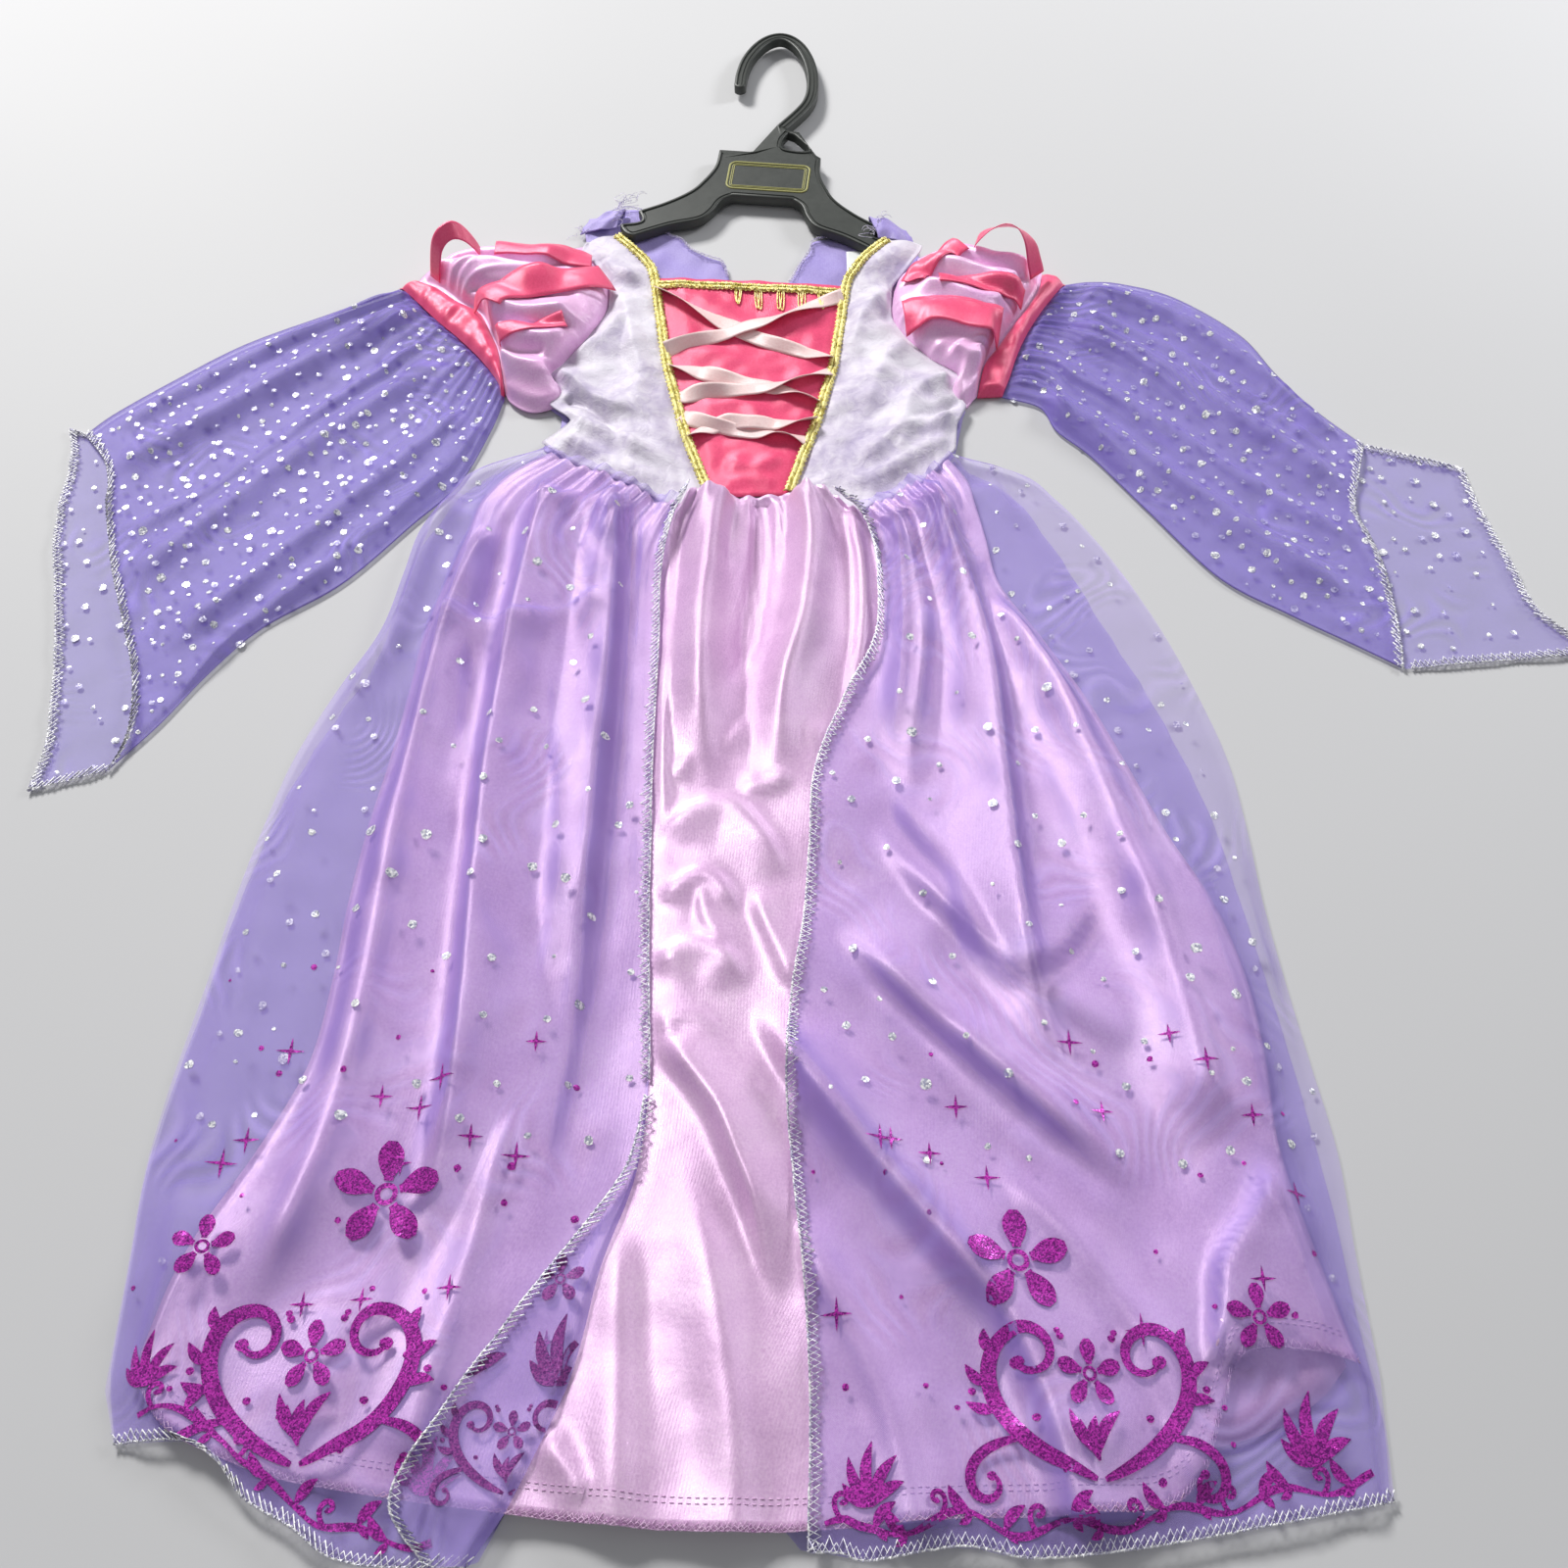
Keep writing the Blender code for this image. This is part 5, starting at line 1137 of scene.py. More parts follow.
neckLoops = dict(brushed=46, hanging=[(0.44, 15), (0.545, 19), (0.665, 19), (0.775, 18), (0.875, 16)])
bag = Bag()
neck = centre[2].copy()
neck[:, 1] -= 1.0
neck[:, 2] += 0.3
braid(bag, neck, 73, amount=2.4, period=4.0)
rng = np.random.default_rng(74)
for k in range(neckLoops["brushed"]):  # short raised loops that make the edging look brushed
    at = (k + rng.uniform(0.1, 0.9)) / neckLoops["brushed"]
    p = along(neck, [at])[0]
    high, wide = rng.uniform(2.6, 5.0), rng.uniform(0.6, 1.3)
    a = np.linspace(0, math.pi, 9)
    loop = np.stack([wide * np.cos(a), 1.0 - high * np.sin(a), 1.0 + 0.6 * np.sin(a)], axis=1)
    bag.rod(p + loop, 0.34, 4)
for at, long in neckLoops["hanging"]:  # place along the neckline and length
    p = along(neck, [at])[0]
    a = np.linspace(0, math.pi, 19)
    for shift in (-0.5, 0.6):
        drift = rng.uniform(-1.2, 1.2)
        px = p[0] + 1.4 * np.cos(a) + shift + drift * np.sin(a)
        py = p[1] - (long + shift) * np.sin(a) ** 0.75
        pz = [drop(centreTree, u, v, p[2]) + 0.9 for u, v in zip(px, py)]
        bag.rod(np.stack([px, py, pz], axis=1), 0.42, 4)
bag.make("braidNeck", goldThread, ["braid_neck"])
print("braid made")


# Flat pieces with an outline

def patch(name, outline, height, finish, replaces, thick=0.8, step=3.5):
    outline = [Vector(p) for p in outline]
    xs, ys = [p.x for p in outline], [p.y for p in outline]
    points = list(outline)
    count = len(outline)
    edges = [(k, (k + 1) % count) for k in range(count)]
    rng = np.random.default_rng(len(outline))
    for gx in np.arange(min(xs) + step / 2, max(xs), step):
        for gy in np.arange(min(ys) + step / 2, max(ys), step):
            p = Vector((gx + rng.uniform(-0.6, 0.6), gy + rng.uniform(-0.6, 0.6)))
            near = min((p - q).length for q in outline)
            if near > step * 0.6:
                points.append(p)
    verts, _, faces, *_ = delaunay_2d_cdt(points, edges, [], 1, 1e-4)
    placed = [(p.x, p.y, height(p.x, p.y)) for p in verts]
    uv = [(p.x * mm, p.y * mm) for p in verts]
    return piece(name, placed, [tuple(f) for f in faces], finish, replaces, uv, thick=thick)


def dense(points, step=3.0):
    points = np.array(points, float)
    length = np.linalg.norm(np.diff(points, axis=0), axis=1).sum()
    return along(points, np.linspace(0, 1, max(3, int(length / step)))).tolist()


backs = dict(
    neck=dict(left=[(-53, 225), (-57, 239), (-66, 244), (-76, 250), (-84, 261), (-92, 266), (-108, 288),
                    (-124, 291), (-138, 279), (-145, 267)],
              right=[(-16, 221), (-10, 235), (-3, 250), (-1, 259), (10, 263), (21, 259), (40, 256),
                     (60, 256)]),
    centre=dict(left=[(-46, 38.8), (-49, 130)], right=[(-33, 38.8), (-24, 130)]),
    side=dict(left=[(-147, 105), (-147, 95)], right=[(84, 104), (82, 94)]),
    flat=dict(left=(0.11, 0.26), right=(0.12, 0.23)),
)
for name in ("left", "right"):
    body = bodice[name]
    neckLine = smoothLine(backs["neck"][name], 40).tolist()
    waistX = np.linspace(body[-1][0], backs["centre"][name][0][0], 24)
    waist = [(px, py + 0.4) for px, py in zip(waistX, heightAlong(skirt["waist"], waistX))]
    armhole = dense([row[:2] for row in body[:10]])
    outline = armhole + backs["side"][name] + waist + [backs["centre"][name][1]] + neckLine

    def height(px, py):
        free = ease((py - 215) / 30)
        return 1.2 + free * (0.9 + 0.7 * float(waves(px, py, 26, 81))) + 0.15 * float(waves(px, py, 12, 82))

    title, node = f"bodiceBack{name.capitalize()}", f"bodice_back_{name}"
    made = patch(title, outline, height, lavender, [node])
    cloth(made, backs["flat"][name], 2, 0.8)

# lowest and highest x, far and near y, top, and which end leans
shoulders = dict(left=(-146, -123, 284, 269, 8.0, 1), right=(38, 61, 272, 254, 11.5, -1))
for name, (lowX, highX, far, near, top, lean) in shoulders.items():
    outer = (top - 1.8) / 2 - 0.4
    middle = 1.8 + outer + 0.4
    bend = far - outer
    path = [(near + 6, middle - outer), (bend - 2, middle - outer)]
    for a in np.radians(np.arange(-80, 81, 16)):
        path.append((bend + outer * math.cos(a), middle + outer * math.sin(a)))
    path += [(bend - 3, middle + outer), (near + 4, middle + outer + 0.3), (near - 2, middle + outer - 1.6)]
    line = smoothLine(path, 40)
    grid = []
    for k, (py, pz) in enumerate(line):
        row = []
        for share in np.linspace(0, 1, 30):
            low = ease((share if lean > 0 else 1 - share) / 0.6)  # the end by the armhole sinks
            bulge = math.sin(math.pi * min(k / 30, 1))
            back = 2.0 * max(k - 28, 0) / 11
            slant = 7.0 * (share - 0.6) * (0.3 + 0.7 * bulge)
            row.append((lowX + (highX - lowX) * share + lean * (3.0 * bulge - back),
                        py + lean * slant + 0.9 * math.sin(share * 9 + k / 7),
                        1.7 + (pz - 1.7) * (0.35 + 0.65 * low) + 0.7 * math.sin(share * 11 + k / 5) * low))
        grid.append(row)
    title, node = f"shoulder{name.capitalize()}", f"shoulder_{name}"
    gridPiece(title, np.array(grid), lavender, [node], thick=0.7)

bag = Bag()  # overlocked neck edges and the threads that fray from them
for name, middle in (("left", (-110, 190)), ("right", (24, 190))):
    neckLine = smoothLine(backs["neck"][name], 90)
    edge = np.array([(px, py, 2.4 + 1.2 * ease((py - 215) / 30)) for px, py in neckLine])
    inner = edge.copy()
    inner[:, :2] += 3 * unit(np.array(middle) - neckLine)
    overlock(bag, edge, inner, 83, wide=2.6, step=1.5, radius=0.17, lift=0.3)


def frays(bag, places, height, number, reach, heading, seed):
    # loose threads that start along a line of places and curl away in about one heading
    rng = np.random.default_rng(seed)
    places = np.array(places, float)
    for _ in range(number):
        at = along(places, [rng.uniform()])[0]
        turned, long = heading + rng.normal(0, 38), reach * rng.uniform(0.4, 1.2)
        line = curl(at, turned, long, rng.uniform(-2, 2), rng.uniform(-3, 3), 2.0, 14)
        rise = height + 0.6 + rng.uniform(0.5, 3.0) * np.sin(np.linspace(0, 2.6, 14))
        bag.rod(np.hstack([line, rise[:, None]]), 0.14, 3)


frayed = [  # edge, height, how many, reach, heading, seed
    ([(-128, 270), (-126, 278), (-124, 287)], 8.0, 20, 12, 40, 84),
    ([(-124, 287), (-118, 290), (-112, 291)], 8.4, 10, 9, 80, 85),
    ([(36, 252), (40, 262), (46, 270)], 9.6, 18, 10, 130, 86),
    ([(-150, 262), (-144, 270)], 3.4, 6, 7, 120, 87),
]
for row in frayed:
    frays(bag, *row)
bag.make("neckThreads", paleThread)

label = dict(width=18, length=27, height=2.9)
px = np.linspace(0, label["width"], 14)[None] + labelPlan[0]
py = np.linspace(label["length"], 0, 20)[:, None] + labelPlan[1]
curve = 0.5 * np.sin((px - labelPlan[0]) / label["width"] * 2.6) + 0.3 * np.sin(py / 6)
labelGrid = np.dstack([*np.broadcast_arrays(px, py), label["height"] + curve])
gridPiece("wovenLabelPiece", labelGrid, labelCloth, ["care_label"], thick=0.4)
print("bodice back made")


# Puffs, bands and ribbons

puffs = dict(
    left=dict(
        side=-1, flat=(0.27, 0.105), bandFlat=(0.24, 0.02),
        upper=[(-144, 255), (-158, 251), (-178, 250), (-197, 249), (-217, 245), (-236, 235), (-246, 219)],
        lower=[(-154, 111), (-158, 108), (-163, 107), (-168, 108), (-173, 111), (-178, 116), (-181, 122)],
        bandIn=[(-246, 219), (-232, 213), (-217, 200), (-203, 190), (-194, 171), (-188, 155), (-181, 122)],
        bandOut=[(-256, 216), (-243, 201), (-228, 183), (-213, 167), (-198, 149), (-186, 130), (-183, 118)],
        folds=[([(-240, 222), (-216, 222), (-186, 214), (-154, 204)], 7, 12, 6.0, (0.1, 0.2)),
               ([(-232, 236), (-206, 236), (-176, 226), (-150, 232)], 6, 8, 5.0, (0.1, 0.2)),
               ([(-204, 192), (-186, 178), (-164, 172), (-138, 178)], 8, 6, 5.0, (0.1, 0.2)),
               ([(-192, 164), (-176, 154), (-156, 152), (-140, 160)], 7, 9, 5.5, (0.1, 0.2)),
               ([(-186, 142), (-174, 134), (-160, 132), (-150, 138)], 5, 7, 4.5, (0.1, 0.2)),
               ([(-214, 206), (-190, 198), (-166, 190), (-140, 192)], 3, 3, -4.0, (0.1, 0.2)),
               ([(-196, 172), (-178, 166), (-158, 162), (-142, 168)], 3, 3, -4.0, (0.1, 0.2)),
               ([(-188, 150), (-172, 144), (-156, 144)], 3, 3, -3.5, (0.1, 0.2)),
               ([(-226, 228), (-200, 226), (-170, 220), (-148, 224)], 3, 3, -3.5, (0.1, 0.2))],
        ribbons=[([(0.97, 0.52), (0.70, 0.46), (0.40, 0.38), (0.03, 0.29)], 23, 0.0),
                 ([(0.56, 0.13), (0.42, 0.14), (0.26, 0.15), (0.05, 0.17)], 19, 0.0),
                 ([(0.97, 0.10), (0.88, 0.12), (0.78, 0.14), (0.67, 0.15)], 9.5, 15.5),
                 ([(0.93, 0.74), (0.72, 0.72), (0.46, 0.66), (0.20, 0.60)], 11, 0.0)]),
    right=dict(
        side=1, flat=(0.26, 0.085), bandFlat=(0.21, 0.019),
        upper=[(68, 243), (78, 250), (92, 252), (106, 248), (120, 242), (132, 236), (141, 229)],
        lower=[(86, 110), (87, 111), (88, 112.5), (89, 114), (90, 116), (91.5, 118), (93, 120)],
        bandIn=[(141, 229), (137, 212), (127, 192), (117, 176), (108, 160), (99, 145), (93, 120)],
        bandOut=[(155, 219), (146, 206), (135, 188), (125, 168), (118, 150), (113, 134), (108, 121)],
        folds=[([(134, 224), (114, 226), (96, 236), (76, 238)], 9, 9, 6.0, (0.1, 0.2)),
               ([(126, 204), (108, 206), (90, 214), (66, 222)], 7, 10, 6.0, (0.1, 0.2)),
               ([(114, 182), (96, 184), (78, 194), (58, 200)], 7, 8, 5.0, (0.1, 0.2)),
               ([(106, 160), (92, 160), (78, 166), (62, 172)], 6, 7, 4.5, (0.1, 0.2)),
               ([(98, 140), (88, 140), (78, 146)], 5, 7, 4.0, (0.1, 0.2)),
               ([(130, 214), (110, 216), (92, 226), (70, 230)], 3, 3, -4.0, (0.1, 0.2)),
               ([(118, 194), (100, 195), (82, 204), (60, 211)], 3, 3, -4.0, (0.1, 0.2)),
               ([(108, 170), (92, 171), (76, 179)], 3, 3, -3.5, (0.1, 0.2))],
        ribbons=[([(0.97, 0.60), (0.72, 0.60), (0.45, 0.56), (0.05, 0.50)], 24, 0.0),
                 ([(0.38, 0.10), (0.31, 0.16), (0.25, 0.23), (0.18, 0.33)], 15, 0.0),
                 ([(0.97, 0.13), (0.82, 0.10), (0.64, 0.09), (0.48, 0.09)], 12, 15.5),
                 ([(0.97, 0.32), (0.80, 0.34), (0.60, 0.36), (0.36, 0.36)], 13, 0.0)]),
    height=22.0, edge=2.4, tuck=2.2, rows=90, columns=120,
)


def closedTube(name, front, backZ, finish, replaces, flare=None):
    # a sleeve pressed flat: the front grid and a low copy of it, joined at the side edges; flare
    # carries the back on past the front's hem
    back = front[:, ::2].copy() if front.shape[1] % 2 else front.copy()
    back[..., 2] = backZ
    back[:, 0], back[:, -1] = front[:, 0], front[:, -1]
    if flare is not None:
        back = np.vstack([back, flare])
    rows, cols = front.shape[:2]
    faces = gridFaces(rows, cols)
    faces += gridFaces(*back.shape[:2], rows * cols)
    points = np.concatenate([front.reshape(-1, 3), back.reshape(-1, 3)])
    uv = []
    for grid in (front, back):
        uv.append(np.stack([rowWalk(grid), rowWalk(grid.transpose(1, 0, 2)).T], axis=-1).reshape(-1, 2) * mm)
    return piece(name, points, faces, finish, replaces, np.concatenate(uv), merge=0.01)


for name in ("left", "right"):
    spec = puffs[name]
    side, title = spec["side"], name.capitalize()
    armhole = [(px - side * puffs["tuck"], py) for px, py, *_ in bodice[name][:10]]
    bandIn = [(px + side * puffs["tuck"], py) for px, py in spec["bandIn"]]
    upper, lower = [armhole[0]] + spec["upper"][1:], [armhole[-1]] + spec["lower"][1:]
    t = np.linspace(0, 1, puffs["columns"] + 1)
    plan = coons(armhole, bandIn, upper, lower, puffs["rows"], t)
    s = np.linspace(0, 1, puffs["rows"])[:, None]
    tt = t[None]
    across = np.sin(math.pi * tt)
    clear = np.maximum(np.minimum(s, 1 - s) - 0.03, 0)  # the seams' own strip stays low
    seams = np.exp(-clear / 0.09)
    z = 3.4 + (puffs["height"] - 6.0) * (1 - np.exp(-clear / 0.075)) * across ** 0.55
    px, py = plan[..., 0], plan[..., 1]
    rng = np.random.default_rng(91 if side < 0 else 92)
    gathered = np.zeros(z.shape)
    for end in (0, 1):
        for place in np.linspace(0.03, 0.97, 15) + rng.uniform(-0.02, 0.02, 15):
            reach = rng.uniform(0.08, 0.30)
            drift = place + rng.uniform(-0.12, 0.12) * np.abs(s - end)
            ridge = np.exp(-(((tt - drift) / rng.uniform(0.012, 0.024)) ** 2))
            ridge = ridge * np.exp(-((np.abs(s - end) / reach) ** 2))
            gathered = np.maximum(gathered, rng.uniform(1.2, 3.2) * ridge)
    crinkle = 0.7 * waves(px, py, 34, 93, lean=0.3, spread=0.4) + 0.12 * waves(px, py, 12, 94, spread=0.6)
    inside = ease(np.minimum(tt, 1 - tt) / 0.12)
    folds = 1.3 * pile(spec["folds"], px, py) * ease(clear / 0.08) + crinkle * (1 - 0.9 * seams)
    z = z + inside * (gathered * ease(clear / 0.03) + folds)
    z = puffs["edge"] + (np.clip(z, 3.0, 27.5) - puffs["edge"]) * ease(np.minimum(tt, 1 - tt) / 0.05)
    grid = np.dstack([px, py, z])
    puff = closedTube(f"puff{title}", grid, 0.6, lilacSatin, [f"puff_{name}"])
    cloth(puff, spec["flat"], 1, 0.9)
    tree = surfaceOf(grid)

    start = [(px0 + side * 0.3, py0) for px0, py0 in spec["bandIn"]]
    t = np.linspace(0, 1, 91)
    end = spec["bandOut"]
    plan = coons(start, end, [start[0], end[0]], [start[-1], end[-1]], 18, t)
    s = np.linspace(0, 1, 18)[:, None]
    roll = np.sin(math.pi * np.clip(s, 0.02, 0.98)) ** 0.5
    z = 2.6 + (4.4 + 3.6 * np.sin(math.pi * t)[None] ** 0.6) * roll
    z = z + 0.45 * roll * waves(plan[..., 0], plan[..., 1], 11, 95, spread=0.3)
    z = 1.4 + (z - 1.4) * ease(np.minimum(t, 1 - t) / 0.04)[None]
    bandGrid = np.dstack([plan, z])
    made = closedTube(f"band{title}", bandGrid, 0.6, pinkSatin, [f"band_{name}"])
    cloth(made, spec["bandFlat"], 1)

    for number, (route, width, arch) in enumerate(spec["ribbons"], start=1):
        rows, cols = 46, 9
        line = np.array([onGrid(grid, u, v) for u, v in smoothLine(route, rows)])
        share = np.linspace(0, 1, rows)
        sideways = leftOf(headings(line[:, :2]))
        fs = np.linspace(-0.5, 0.5, cols)
        heights = np.zeros((rows, cols))
        for k, (p, w) in enumerate(zip(line[:, :2], sideways)):
            heights[k] = [drop(tree, *(p + w * width * f), 5.0) for f in fs]
        wide = np.pad(heights, 2, mode="edge")
        stiff = np.max([wide[i:i + rows, j:j + cols] for i in range(5) for j in range(5)], axis=0)
        heights = np.maximum(blur(stiff, 3), heights + 0.1) + 0.7
        rise = arch * np.sin(math.pi * share) ** 0.7
        lean = 0.55 * np.sin(math.pi * share) if arch else 0 * share
        cup = 0.6 * np.sin(share * 9 + number)
        ribbon = np.zeros((rows, cols, 3))
        for k, f in enumerate(fs):
            ribbon[:, k, :2] = line[:, :2] + sideways * (width * f * np.cos(lean))[:, None]
            ribbon[:, k, 2] = heights[:, k] + rise + cup * (0.25 - f * f) + width * f * np.sin(lean)
        if arch:
            top = heights.max(axis=1) + rise
            for k, f in enumerate(fs):
                ribbon[:, k, 2] = top + width * f * np.sin(lean * 1.6)
        ribbon[..., 2] = np.maximum(ribbon[..., 2], 2.0)
        node = f"puff_ribbon_{name}_{number}"
        made = gridPiece(f"ribbon{title}{number}", ribbon, pinkSatin, [node], thick=0.45)
        if width >= 10:
            cloth(made, (width * mm, area(made) / 2 / (width * mm) * 1.03), 2)
print("puffs made")


# Bell sleeves

bells = dict(
    left=dict(
        side=-1, flat=(0.46, 0.27), share=0.8,
        upper=[(-295, 193), (-341, 166), (-376, 136), (-405, 108), (-418, 91)],
        lower=[(-187, 92), (-200, 52), (-222, 22), (-254, -20), (-291, -50), (-312, -78), (-331, -111),
               (-350, -138)],
        frontHem=[(-418, 91), (-399, 65), (-390, 28), (-377, -12), (-364, -45), (-353, -73), (-346, -101),
                  (-345, -122), (-350, -138)],
        backHem=[(-428, 95), (-421, 71), (-417, 21), (-404, -29), (-396, -60), (-388, -99), (-384, -125),
                 (-386, -150)],
        folds=[([(-236, 192), (-280, 160), (-330, 112), (-396, 56)], 9, 13, 6.0, (0.1, 0.15)),
               ([(-214, 150), (-250, 112), (-300, 60), (-372, -30)], 8, 12, 5.0, (0.1, 0.15)),
               ([(-200, 110), (-236, 60), (-280, 6), (-340, -70)], 7, 12, 5.0, (0.1, 0.15)),
               ([(-246, 206), (-300, 176), (-360, 128), (-408, 86)], 6, 8, 3.6, (0.1, 0.2)),
               ([(-226, 170), (-280, 110), (-330, 50), (-384, 6)], 5, 6, 3.2, (0.15, 0.15)),
               ([(-192, 100), (-216, 50), (-260, -6), (-330, -96)], 5, 8, 3.0, (0.1, 0.2))]),
    right=dict(
        side=1, flat=(0.44, 0.25), share=0.8,
        upper=[(170, 222), (190, 220), (221, 207), (255, 174), (271, 140), (288, 111), (310, 83)],
        lower=[(129, 112), (137, 93), (155, 72), (181, 32), (213, -16), (246, -41), (276, -61), (298, -76)],
        frontHem=[(310, 83), (300, 52), (295, 30), (301, -5), (301, -39), (298, -76)],
        backHem=[(362, 64), (364, 40), (372, -9), (378, -38), (400, -66)],
        folds=[([(150, 180), (190, 150), (230, 110), (296, 40)], 9, 12, 6.0, (0.1, 0.15)),
               ([(156, 208), (200, 194), (240, 160), (300, 84)], 8, 10, 5.0, (0.1, 0.15)),
               ([(126, 122), (160, 90), (206, 44), (284, -36)], 7, 12, 5.0, (0.1, 0.15)),
               ([(138, 150), (180, 112), (230, 60), (298, 0)], 5, 8, 3.4, (0.1, 0.15)),
               ([(152, 196), (206, 160), (256, 110), (300, 60)], 5, 6, 3.0, (0.1, 0.2))]),
    rows=110, columns=100,
)
bellGrids = {}
for name in ("left", "right"):
    spec = bells[name]
    side, title = spec["side"], name.capitalize()
    start = [(px - side * 1.5, py) for px, py in puffs[name]["bandOut"]]
    t = np.linspace(0, 1, bells["columns"])
    upper, lower = [start[0]] + spec["upper"], [start[-1]] + spec["lower"]
    plan = coons(start, spec["frontHem"], upper, lower, bells["rows"], t)
    px, py = plan[..., 0], plan[..., 1]
    s = np.linspace(0, 1, bells["rows"])[:, None]
    rng = np.random.default_rng(101 if side < 0 else 102)
    gathered = np.zeros(px.shape)
    for place in np.linspace(0.04, 0.96, 19) + rng.uniform(-0.018, 0.018, 19):
        drift = place + rng.uniform(-0.06, 0.06) * s
        ridge = np.exp(-(((t[None] - drift) / (rng.uniform(0.010, 0.018) * (1 + 2 * s))) ** 2))
        ridge = rng.uniform(1.5, 4.0) * ridge
        gathered = np.maximum(gathered, ridge * np.exp(-((s / rng.uniform(0.12, 0.5)) ** 1.3)))
    z = 2.6 + (2.2 * np.exp(-s / 0.1) + gathered) * ease(s / 0.03) + 1.5 * pile(spec["folds"], px, py)
    z = z + 0.5 * (1 + waves(px, py, 34, 103, spread=0.3)) + 0.25 * waves(px, py, 13, 104)
    z = 1.4 + (np.maximum(z, 1.8) - 1.4) * ease(np.minimum(t, 1 - t) / 0.07)[None]
    front = np.dstack([px, py, z])
    hem = front[-1]
    backHem = smoothLine(spec["backHem"], shares=t)
    flare = []
    for k in range(1, 25):
        f = k / 24
        flarePlan = hem[:, :2] * (1 - f) + backHem * f
        rise = 0.9 + 0.5 * ease(f * 3) * (1 + waves(flarePlan[:, 0], flarePlan[:, 1], 22, 105))
        flare.append(np.column_stack([flarePlan, rise]))
    flare = np.array(flare)
    made = closedTube(f"bell{title}", front, 0.9, organza, [f"sleeve_{name}"], flare)
    cloth(made, spec["flat"], 1, spec["share"])
    bellGrids[name] = (front, flare)
    bag = Bag()
    overlock(bag, front[-1], front[-5], 111 + side)
    bag.make(f"bellHem{title}", silverThread, [f"sleeve_edging_{name}"])
    bag = Bag()
    overlock(bag, flare[-1], flare[-3], 113 + side, wide=4.6)
    overlock(bag, flare[:, 0], flare[:, 5], 115 + side, wide=4.0)
    overlock(bag, flare[:, -1], flare[:, -6], 117 + side, wide=4.6)
    bag.make(f"bellBackHem{title}", silverThread, [f"sleeve_edging_back_{name}"])
    tree = surfaceOf(front)
    backTree = surfaceOf(np.vstack([front[:1] * (1, 1, 0) + (0, 0, 0.9), flare]))
    outlineBell = np.vstack([front[:, 0, :2], front[-1, :, :2], front[:, -1, :2], front[0, :, :2]])

    def onBell(px, py):
        return drop(tree, px, py, -1.0)

    def onBellBack(px, py):
        return drop(backTree, px, py, -1.0)

    def wellOnBell(px, py):
        return min(onBell(px + 3, py), onBell(px - 3, py), onBell(px, py - 4)) > 1.7

    def onEither(px, py):
        return min(onBell(px + 3, py), onBell(px - 3, py)) > 1.6 or onBellBack(px, py) > 0.5

    bag = Bag()
    box = (*outlineBell.min(axis=0), *outlineBell.max(axis=0))
    scatter(bag, wellOnBell, onBell, box, 12.5, (1.8, 4.2), 141 + side, 0.85)
    bag.make(f"bellDots{title}", silverGlitter, smooth=False)
    bag = Bag()
    wide = np.vstack([outlineBell, flare.reshape(-1, 3)[:, :2]])
    box = (*wide.min(axis=0), *wide.max(axis=0))
    scatter(bag, onEither, lambda px, py: 1.0, box, 15, (2.4, 4.2), 143 + side, 0.8, lift=0.35)
    bag.make(f"bellBackDots{title}", silverGlitter, smooth=False)
print("bell sleeves made")


# Hanger, in its own frame with the plate's upper edge on y = 0

hanger = dict(
    top=(-28.0, 340.5), tilt=math.radians(-5.9), low=3.6, high=9.6,
    shoulder=[(33.4, 0), (34.4, -18), (41, -35), (48, -46), (61.5, -58), (76.8, -68)],
    notch=[(76.8, -68), (73.4, -76), (76.6, -79.5), (85.7, -82.3), (84.4, -87), (81, -91), (76.3, -92.6)],
    arch=[(76.3, -92.6), (55, -80), (37, -72.3), (29.8, -63), (25.6, -52.3), (19, -46.6)],
    hook=[(-28.6, 73), (-28.9, 86), (-27.2, 102), (-22.3, 117), (-15.5, 127.5), (-7.5, 132), (0.5, 129.5),
          (8.5, 120.5), (14.8, 107), (18.9, 92), (20.7, 78), (20.8, 66), (18.6, 55), (13.2, 43), (4.4, 27.2)],
    hookWidth=8.0, foot=(-11.6, 0.0), web=[(16.5, 24), (30.4, 0.0)],
    loop=[(9.6, 22), (6.8, 14), (8.8, 5), (25, 4.6), (15.4, 18.6)],
    frame=(1.5, -26.0, 52.0, 27.0, 4.5),  # middle x and y, width, height, corner radius
    frameLines=[(0, 0.75), (1.9, 0.35), (3.0, 0.35)],  # inset and radius
)


def tilted(points):
    points = np.array(points, float)
    c, s = math.cos(hanger["tilt"]), math.sin(hanger["tilt"])
    return np.stack([hanger["top"][0] + c * points[:, 0] - s * points[:, 1],
                     hanger["top"][1] + s * points[:, 0] + c * points[:, 1]], axis=1)


hook = smoothLine(hanger["hook"], 110)
out = leftOf(headings(hook)) * hanger["hookWidth"] / 2
a = np.radians(range(-20, -180, -20))
tip = hook[0] + hanger["hookWidth"] / 2 * np.stack([np.cos(a), np.sin(a)], axis=1)
half = np.vstack([smoothLine(hanger["shoulder"], 40), smoothLine(hanger["notch"], 22)[1:],
                  smoothLine(hanger["arch"], 40)[1:]])
outline = np.vstack([[hanger["foot"]], (hook - out)[::-1], tip, hook + out, smoothLine(hanger["web"], 8),
                     half[1:], half[::-1][:-1] * (-1, 1), [(-33.4, 0)]])
outline = outline[np.concatenate([[True], np.linalg.norm(np.diff(outline, axis=0), axis=1) > 0.3])]
hole = smoothLine(hanger["loop"] + hanger["loop"][:1], 40)[:-1]


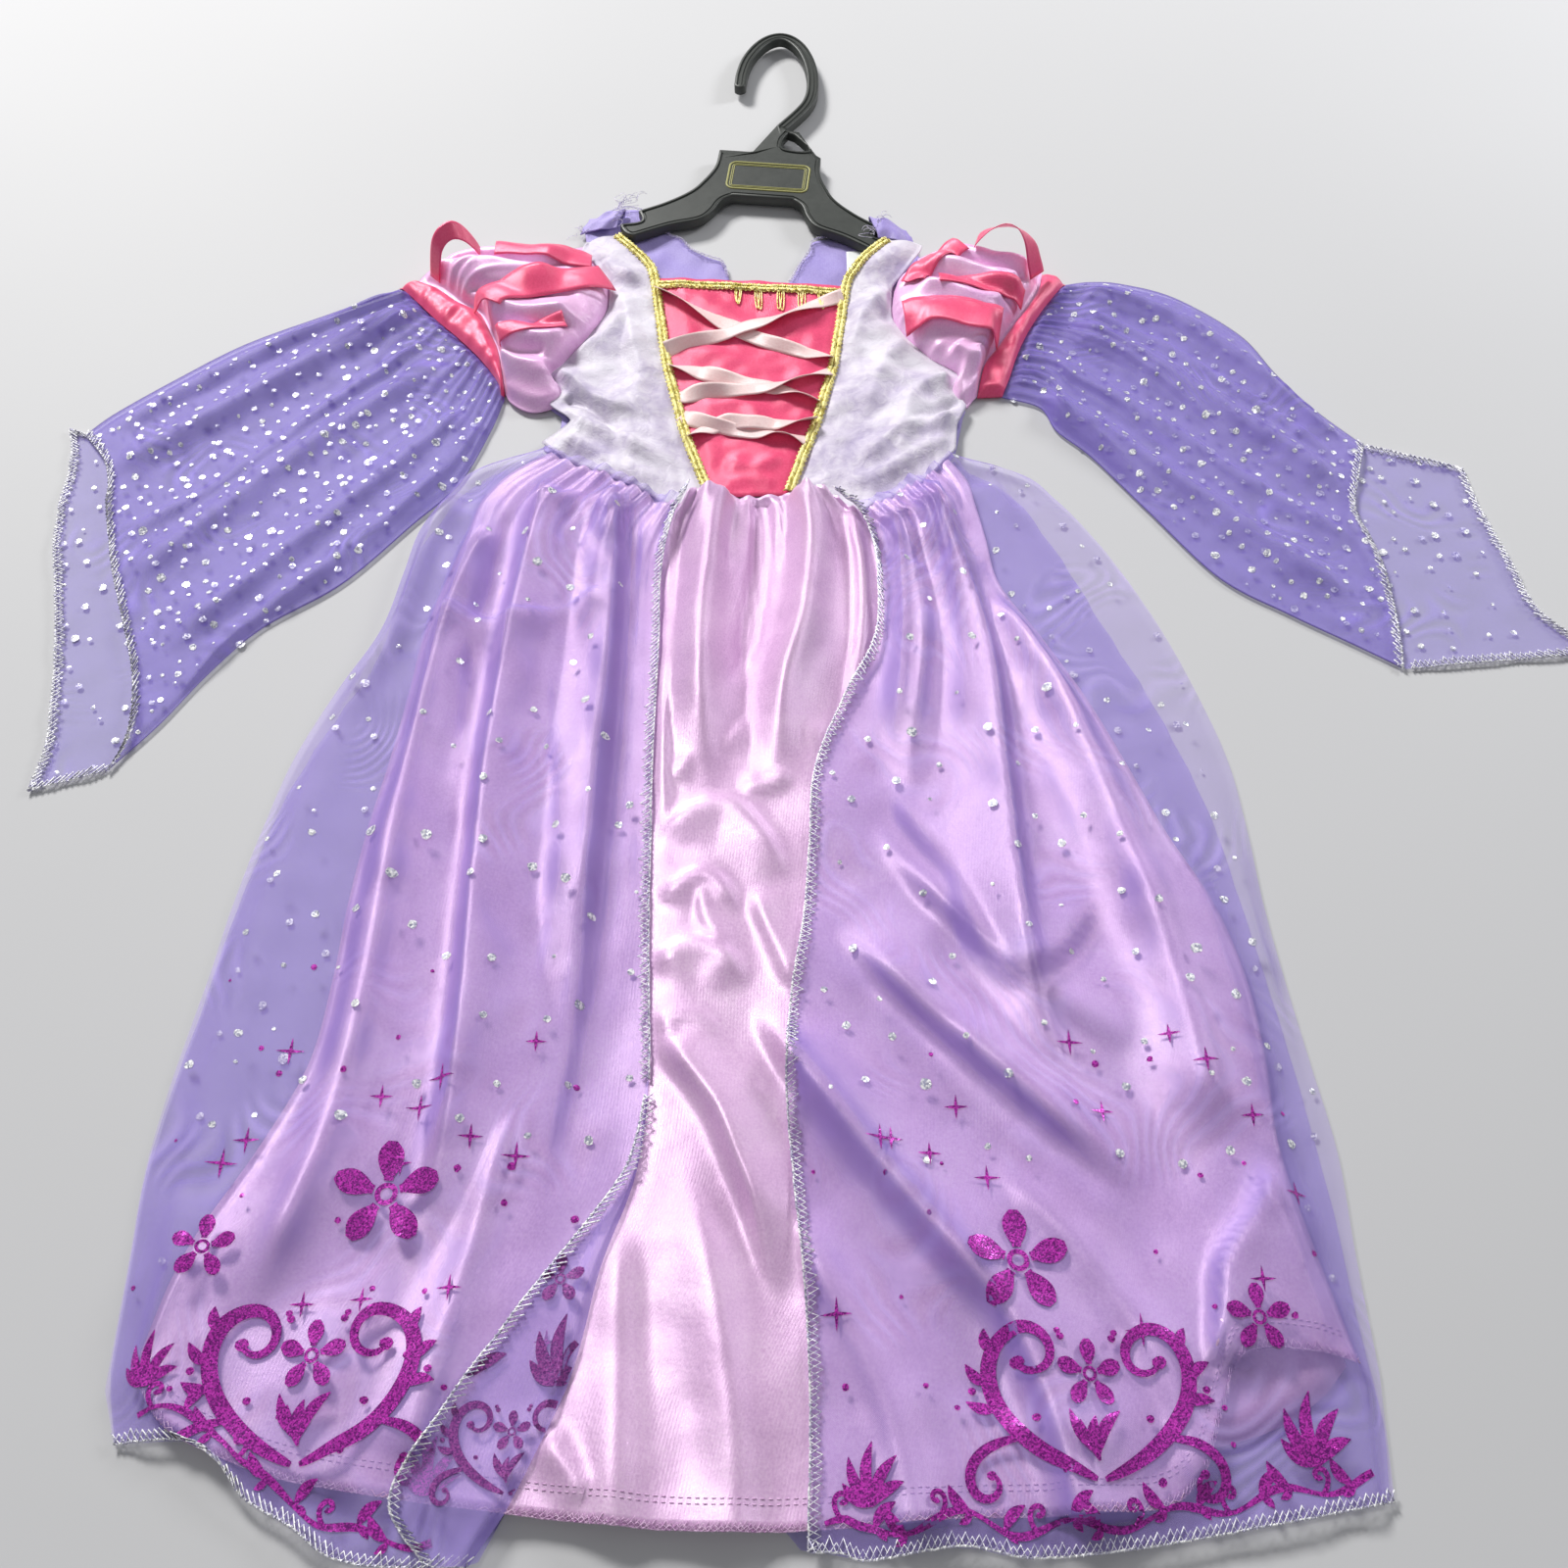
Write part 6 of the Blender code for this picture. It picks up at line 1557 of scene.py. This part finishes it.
def slab(name, outline, hole, low, high, profile, rings, finish, slot, replaces):
    # a moulded plate whose upper face takes its height from the distance to the nearest edge
    loops = [np.array(outline), np.array(hole)]
    segments = np.concatenate([np.stack([l, np.roll(l, -1, axis=0)], axis=1) for l in loops])

    def edgeDistance(p):
        a, d = segments[:, 0], segments[:, 1] - segments[:, 0]
        t = np.clip(((p - a) * d).sum(axis=1) / ((d * d).sum(axis=1) + 1e-12), 0, 1)
        return np.sqrt((((a + d * t[:, None]) - p) ** 2).sum(axis=1).min())

    points, edges = [], []
    for loop in loops:
        first = len(points)
        points += [Vector(p) for p in loop]
        edges += [(first + k, first + (k + 1) % len(loop)) for k in range(len(loop))]
    for loop in loops:
        ahead = unit(np.roll(loop, -1, axis=0) - np.roll(loop, 1, axis=0))
        for sign in (-1, 1):
            normal = sign * leftOf(ahead)
            for ring in rings:
                for p, n in zip(loop, normal):
                    q = p + n * ring
                    if abs(edgeDistance(q) - ring) < 0.04:
                        points.append(Vector(q))
    verts, _, faces, *_ = delaunay_2d_cdt(points, edges, [], 1, 1e-3)
    # faces inside the hole are dropped
    ring = [Vector(p) for p in hole]

    def inHole(p):
        inside = False
        for a, b in zip(ring, ring[1:] + ring[:1]):
            if (a.y > p.y) != (b.y > p.y) and p.x < (b.x - a.x) * (p.y - a.y) / (b.y - a.y) + a.x:
                inside = not inside
        return inside

    faces = [tuple(f) for f in faces if not inHole(sum((verts[k] for k in f), Vector((0, 0))) / len(f))]
    heights = [profile(edgeDistance(np.array(v))) for v in verts]
    flat = tilted([tuple(v) for v in verts])
    top = [(p[0], p[1], high + h) for p, h in zip(flat, heights)]
    bottom = [(p[0], p[1], low) for p in flat]
    count = len(top)
    used = dict.fromkeys((a, b) for face in faces for a, b in zip(face, face[1:] + face[:1]))
    walls = [(b, a, a + count, b + count) for a, b in used if (b, a) not in used]
    faces = faces + [tuple(k + count for k in f[::-1]) for f in faces] + walls
    made = piece(name, top + bottom, faces, finish, replaces)
    made.data.set_sharp_from_angle(angle=math.radians(50))
    return made


rimSteps = [0, 0.4, 0.8, 1.7, 2.0, 2.9, 3.3]


def rim(d):  # rounded edge, border, groove and a flat middle
    return float(np.interp(d, rimSteps, [-0.9, -0.2, 0.0, 0.0, -1.0, -1.0, -0.3]))


levels = (hanger["low"], hanger["high"])
slab("hangerBody", outline, hole, *levels, rim, rimSteps[1:], plastic, "hanger_plastic", ["hanger"])
fx, fy, fw, fh, fr = hanger["frame"]
bag = Bag()
for inset, thick in hanger["frameLines"]:
    corners = []
    w, h, r = fw / 2 - inset, fh / 2 - inset, max(fr - inset, 1.2)
    for sx, sy, first in ((1, 1, 0), (-1, 1, 90), (-1, -1, 180), (1, -1, 270)):
        for a in np.radians(np.linspace(first, first + 90, 9)):
            corners.append((fx + sx * (w - r) + r * math.cos(a), fy + sy * (h - r) + r * math.sin(a)))
    height = np.full((len(corners), 1), hanger["high"] - 0.15)
    bag.rod(np.hstack([tilted(corners), height]), thick, 6, closed=True, flat=0.6)
bag.make("plateFrameLines", goldFrame)
print("hanger made")


# Camera, floor and light

shot = dict(place=(-0.019, -0.54, 0.62), pitch=32.5, lens=34.58, sensor=36)
camera = bpy.data.objects.new("camera", bpy.data.cameras.new("camera"))
bpy.context.scene.collection.objects.link(camera)
camera.location = np.array(shot["place"]) + moved
camera.rotation_euler = (math.radians(shot["pitch"]), 0, 0)
camera.data.lens = shot["lens"]
camera.data.sensor_width = shot["sensor"]
camera.data.clip_start = 0.01
bpy.context.scene.camera = camera


def floorLook(pen):
    return {"Base Color": pen.noise(0.5).between((0.52, 0.52, 0.53), (0.57, 0.57, 0.58)), "Roughness": 0.75}


bpy.ops.mesh.primitive_plane_add(size=8, location=(0, 0, -0.0002))
floor = bpy.context.object
floor.name = "floor"
floor.data.materials.append(finish("paleFloor", floorLook))

lamps = [  # place, size, power, colour
    ((-1.4, 2.3, 2.0), 0.8, 134, (1.0, 0.99, 0.97)),
    ((1.3, 0.9, 0.8), 0.4, 11, (0.97, 0.98, 1.0)),
    ((-0.2, -1.2, 1.8), 0.8, 4, (1.0, 1.0, 1.0)),
]
for place, size, power, colour in lamps:
    lamp = bpy.data.objects.new("lamp", bpy.data.lights.new("lamp", "AREA"))
    lamp.data.size, lamp.data.energy, lamp.data.color = size, power, colour
    lamp.location = place
    lamp.rotation_euler = (-Vector(place)).to_track_quat("-Z", "Y").to_euler()
    bpy.context.scene.collection.objects.link(lamp)
room = dict(colour=(0.8, 0.82, 0.85, 1), strength=0.29)
world = bpy.data.worlds.new("softRoom")
world.use_nodes = True
sky = world.node_tree.nodes["Background"]
sky.inputs[0].default_value, sky.inputs[1].default_value = room["colour"], room["strength"]
bpy.context.scene.world = world
bpy.context.scene.view_settings.view_transform = "Standard"
print("stage set")
